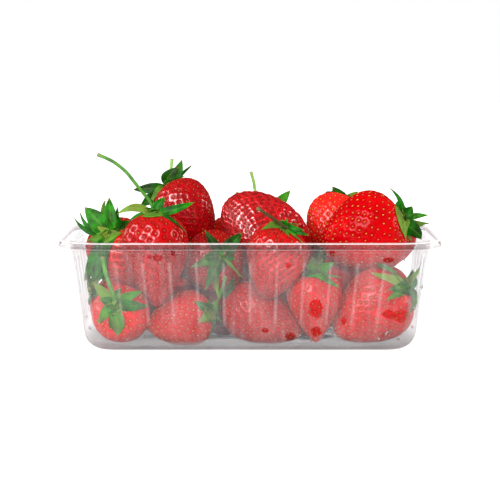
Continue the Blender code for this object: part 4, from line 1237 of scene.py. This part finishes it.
def veil_share(tree, place, clouds, lip, edgeways):
    """How much of a thin white veil lies over the sheet.

    It is faint upright streaks times slow clouds, with a little more on the flutes as painted
    highlight, taken off at the wet spots. The wall seen edgeways adds to it, partly as thicker haze and
    partly as painted reflection of the white surround, and the lip has only its two painted highlights.
    """
    height = add(tree, "SeparateXYZ", {0: place}).outputs["Z"]
    pressed = add(tree, "Attribute", attribute_name="flute").outputs["Fac"]
    upright = add(tree, "VectorMath", {0: place, 1: (1.0, 1.0, 0.06)}, operation="MULTIPLY").outputs[0]
    streaks = add(tree, "TexNoise", {"Vector": upright, "Scale": across_mm(3.2), "Detail": 1.0}).outputs[0]
    veil = add(tree, "MapRange", {0: streaks, 1: 0.3, 2: 0.72, 3: 0.024, 4: 0.052}).outputs[0]
    cloudy = add(tree, "MapRange", {0: clouds, 1: 0.3, 2: 0.7, 3: 0.8, 4: 1.2}).outputs[0]
    # Painted highlight: a little more white veil on the flutes, standing in for their upright highlight
    # streaks.
    flute_painted_highlight = add(tree, "MapRange", {0: pressed, 1: 0.3, 2: 1.0, 3: 0.0, 4: 0.05}).outputs[0]
    dry = dry_share(tree, place)
    # Seen edgeways the veil grows: partly thicker haze, partly painted reflection of the white surround; less
    # of it low on the wall.
    wall = add(tree, "MapRange", {0: height, 1: 7 * MM, 2: 12 * MM, 3: 0.05, 4: 0.30}).outputs[0]
    edgeways_haze_and_reflection = add(tree, "Math", {0: edgeways, 1: wall}, operation="MULTIPLY").outputs[0]
    plain = add(tree, "Math", {0: 1.0, 1: lip}, operation="SUBTRACT").outputs[0]
    # Painted highlight: two fine white stripes on the lip, where its top edge and the foot of its turned-down
    # edge would catch the light.
    top = painted_highlight_line(tree, height, RIM_HEIGHT, 0.70)
    bottom = painted_highlight_line(tree, height, RIM_HEIGHT - LIP_DROP, 0.22)
    highlight_lines = add(tree, "Math", {0: top, 1: bottom}, operation="MAXIMUM").outputs[0]
    highlight_lines = add(tree, "Math", {0: highlight_lines, 1: lip}, operation="MULTIPLY").outputs[0]
    steps = (
        ("MULTIPLY", cloudy),
        ("ADD", flute_painted_highlight),
        ("MULTIPLY", dry),
        ("ADD", edgeways_haze_and_reflection),
        ("MULTIPLY", plain),
        ("MAXIMUM", highlight_lines),
    )
    for operation, value in steps:
        veil = add(tree, "Math", {0: veil, 1: value}, operation=operation).outputs[0]
    return veil


def pressed_pet():
    """Clear PET sheet, vacuum pressed: colourless, with a gloss at its bends and a fine damp haze inside.

    The haze lays a thin white veil over what is behind it, in faint upright streaks, with a little
    painted highlight on the flutes. Where a wet berry touches the wall there is no haze, so the red
    shows clear. Seen edgeways the sheet goes white, partly from thicker haze and partly as painted
    reflection of the white surround, and the turned-down edge of the rim shows as two fine painted
    highlights.
    """
    material, tree = new_material("pressed_pet")
    place = add(tree, "TexCoord").outputs["Object"]
    share, lip = (add(tree, "Attribute", attribute_name=name).outputs["Fac"] for name in ("mirror", "lip"))
    clouds = add(tree, "TexNoise", {"Vector": place, "Scale": across_mm(18.0), "Detail": 2.0}).outputs[0]
    edgeways = add(tree, "LayerWeight", {"Blend": 0.5}).outputs["Facing"]
    edgeways = add(tree, "Math", {0: edgeways, 1: 10.0}, operation="POWER").outputs[0]
    veil = veil_share(tree, place, clouds, lip, edgeways)
    tint = layered(tree, "#fcfcfc", ((edgeways, "#c8cccf"), (lip, "#dedada")))
    ripple = add(tree, "Bump", {"Strength": 0.08, "Distance": 0.15 * MM, "Height": clouds}).outputs[0]
    mirror = add(tree, "Fresnel", {"IOR": 1.5, "Normal": ripple}).outputs[0]
    mirror = add(tree, "Math", {0: mirror, 1: share}, operation="MULTIPLY").outputs[0]
    clear = add(tree, "BsdfTransparent", {"Color": tint})
    # This white veil carries the haze, and also the painted highlights and painted reflection set in
    # veil_share.
    haze = add(tree, "BsdfDiffuse", {"Color": "#f8f0f1"})
    gloss = add(tree, "BsdfGlossy", {"Color": "#e6ecee", "Roughness": 0.10, "Normal": ripple})
    sheet = add(tree, "MixShader", {0: veil, 1: clear.outputs[0], 2: haze.outputs[0]})
    both = add(tree, "MixShader", {0: mirror, 1: sheet.outputs[0], 2: gloss.outputs[0]})
    return surfaced(material, both)


def still_water():
    """Drops of clean water that have run together on the plastic: clear, with a hard small highlight."""
    material, tree = new_material("still_water")
    place = add(tree, "TexCoord").outputs["Object"]
    swirl = add(tree, "TexNoise", {"Vector": place, "Scale": across_mm(2.0), "Detail": 1.0}).outputs[0]
    bump = add(tree, "Bump", {"Strength": 0.1, "Distance": 0.1 * MM, "Height": swirl})
    shader = add(tree, "BsdfPrincipled", {
        "Base Color": "#ffffff", "Roughness": 0.02, "IOR": 1.33, "Transmission Weight": 1.0,
        "Normal": bump.outputs[0],
    })
    return surfaced(material, shader)


def studio_floor():
    """Matt pale studio board, with a very faint grain, lit so that the camera sees it as clean white."""
    material, tree = new_material("studio_floor")
    place = add(tree, "TexCoord").outputs["Object"]
    grain = add(tree, "TexNoise", {"Vector": place, "Scale": across_mm(3.0), "Detail": 2.0}).outputs[0]
    colour = layered(tree, "#dcdcdc", ((grain, "#e2e2e2"),))
    seen = add(tree, "LightPath").outputs["Is Camera Ray"]
    shader = add(tree, "BsdfPrincipled", {
        "Base Color": colour, "Roughness": 0.8, "Specular IOR Level": 0.2,
        "Emission Color": "#ffffff", "Emission Strength": seen,
    })
    return surfaced(material, shader)


# Pieces

HEAP = ("strawberries",)


def make_berries(skin_material, husk):
    """Every berry with its seeds: a piece for each that shows, and one for all those packed behind."""
    shown_seeds, packed_seeds, packed, inner = [], [], [], []
    for number, berry in enumerate(BERRIES):
        shown = number < len(SHOWN_BERRIES)
        inside = berry.name in INNER_BERRIES
        grid = INNER_GRID if inside else PACKED_GRID
        if shown:
            grid = BROAD_GRID if berry.breadth > 1 else SHOWN_GRID
        skin = Skin(*SKINS.get(berry.name, PACKED_SKIN))
        shape, seeds = berry_shape(number, grid, skin)
        if shown:
            write_mesh("berry_" + berry.name, shape, skin_material, stands_for=HEAP)
            shown_seeds.append(seed_shapes(*seeds, number, skin.browned))
        elif inside:
            inner.append(shape)
        else:
            packed.append(shape)
            packed_seeds.append(seed_shapes(*seeds, number, skin.browned))
    write_mesh("berries_packed_behind", joined(packed), skin_material, stands_for=HEAP)
    write_mesh("berries_inside", joined(inner), skin_material, stands_for=HEAP)
    write_mesh("seeds_in_front", joined(shown_seeds), husk, stands_for=HEAP)
    write_mesh("seeds_behind", joined(packed_seeds), husk, stands_for=HEAP)


def make_greens(leaf_material, stem_material):
    """Leaves round each calyx, and the stems."""
    behind, stems = [], []
    for number, berry in enumerate(BERRIES):
        if berry.name in INNER_BERRIES:
            continue
        shown = number < len(SHOWN_BERRIES)
        shapes = [
            laid_leaf(number, tip, width, tone, LEAF_PHASE * k, FRONT, *turn_and_bow)
            for k, (tip, width, tone, *turn_and_bow) in enumerate(LEAVES.get(berry.name, ()))
        ]
        size = (SEPAL_LENGTH, SEPAL_WIDTH) if shown else (PACKED_SEPAL_LENGTH, PACKED_SEPAL_WIDTH)
        shapes += sepals(number, *size)
        shapes.append(hub_shape(number))
        if shown:
            calyx = "calyx_" + berry.name
            write_mesh(calyx, joined(shapes), leaf_material, stands_for=HEAP)
        else:
            behind += shapes
        stem = stem_for(number)
        if stem:
            stems.append(stem)
    write_mesh("calyxes_behind", joined(behind), leaf_material, stands_for=HEAP)
    write_mesh("stems", joined(stems), stem_material, stands_for=HEAP)


def make_tray(plastic, water):
    """The tray's clear sheet in place of the plain solid, and the drops on it."""
    write_mesh("tray_film", tray_shape(), plastic, stands_for=("tray",))
    write_mesh("water_drops", drop_shapes(), water)


def make_floor():
    """A wide pale floor under the tray."""
    stops = np.linspace(-FLOOR_HALF, FLOOR_HALF, FLOOR_STEPS)
    x, y = np.meshgrid(stops, stops)
    points = np.stack((x, y, np.full_like(x, -FLOOR_DROP)), -1).reshape(-1, 3)
    here = np.arange(x.size).reshape(x.shape)
    quads = np.stack((here[:-1, :-1], here[:-1, 1:], here[1:, 1:], here[1:, :-1]), -1).reshape(-1, 4)
    mesh = bpy.data.meshes.new("studio_floor")
    mesh.from_pydata((points * MM).tolist(), [], quads.tolist())
    mesh.materials.append(studio_floor())
    floor = bpy.data.objects.new("studio_floor", mesh)
    bpy.context.scene.collection.objects.link(floor)


def make_light(name, place, aim_height, size, watts, mirrored, diffuse):
    """A square soft light that points at a height over the middle of the tray."""
    data = bpy.data.lights.new(name, "AREA")
    data.shape = "SQUARE"
    data.size = size * MM
    data.energy = watts
    lamp = bpy.data.objects.new(name, data)
    lamp.visible_glossy = mirrored
    lamp.visible_diffuse = diffuse
    bpy.context.scene.collection.objects.link(lamp)
    lamp.location = np.array(place) * MM
    x, y, z = np.array((0.0, 0.0, aim_height)) - place
    lamp.rotation_euler = (math.atan2(math.hypot(x, y), -z), 0.0, math.atan2(y, x) - math.pi / 2)


def make_studio():
    """White surround and six soft lights.

    A large box at the upper left is seen in gloss alone, one light at each side brightens the edges,
    and three fills light the heap without showing in its gloss.
    """
    world = bpy.data.worlds.new("studio")
    bpy.context.scene.world = world
    world.use_nodes = True
    tree = world.node_tree
    tree.nodes.clear()
    paths = add(tree, "LightPath").outputs
    strength = add(tree, "MapRange", {0: paths["Is Camera Ray"], 3: WORLD_LIGHT, 4: 1.0}).outputs[0]
    strength = add(tree, "MapRange", {0: paths["Is Glossy Ray"], 3: strength, 4: WORLD_MIRRORED}).outputs[0]
    background = add(tree, "Background", {"Color": "#ffffff", "Strength": strength})
    add(tree, "OutputWorld", {"Surface": background.outputs[0]})
    for light in LIGHTS:
        make_light(*light)


def make_camera():
    """The camera in front of the tray and a little above it, looking slightly down."""
    data = bpy.data.cameras.new("camera")
    data.lens = CAMERA_LENS
    data.sensor_width = CAMERA_SENSOR
    data.sensor_fit = "HORIZONTAL"
    data.clip_start = 0.01
    data.clip_end = 50
    camera = bpy.data.objects.new("camera", data)
    bpy.context.scene.collection.objects.link(camera)
    camera.location = np.array(CAMERA_PLACE) * MM
    camera.rotation_euler = (math.radians(90 - CAMERA_DOWN), 0.0, 0.0)
    bpy.context.scene.camera = camera


bpy.context.scene.view_settings.view_transform = "Standard"
make_camera()
make_studio()
make_floor()
make_berries(strawberry_skin(), seed_husk())
make_greens(sepal_leaf(), stem_green())
write_mesh("heap_core", core_shape(), core_flesh(), stands_for=HEAP)
make_tray(pressed_pet(), still_water())
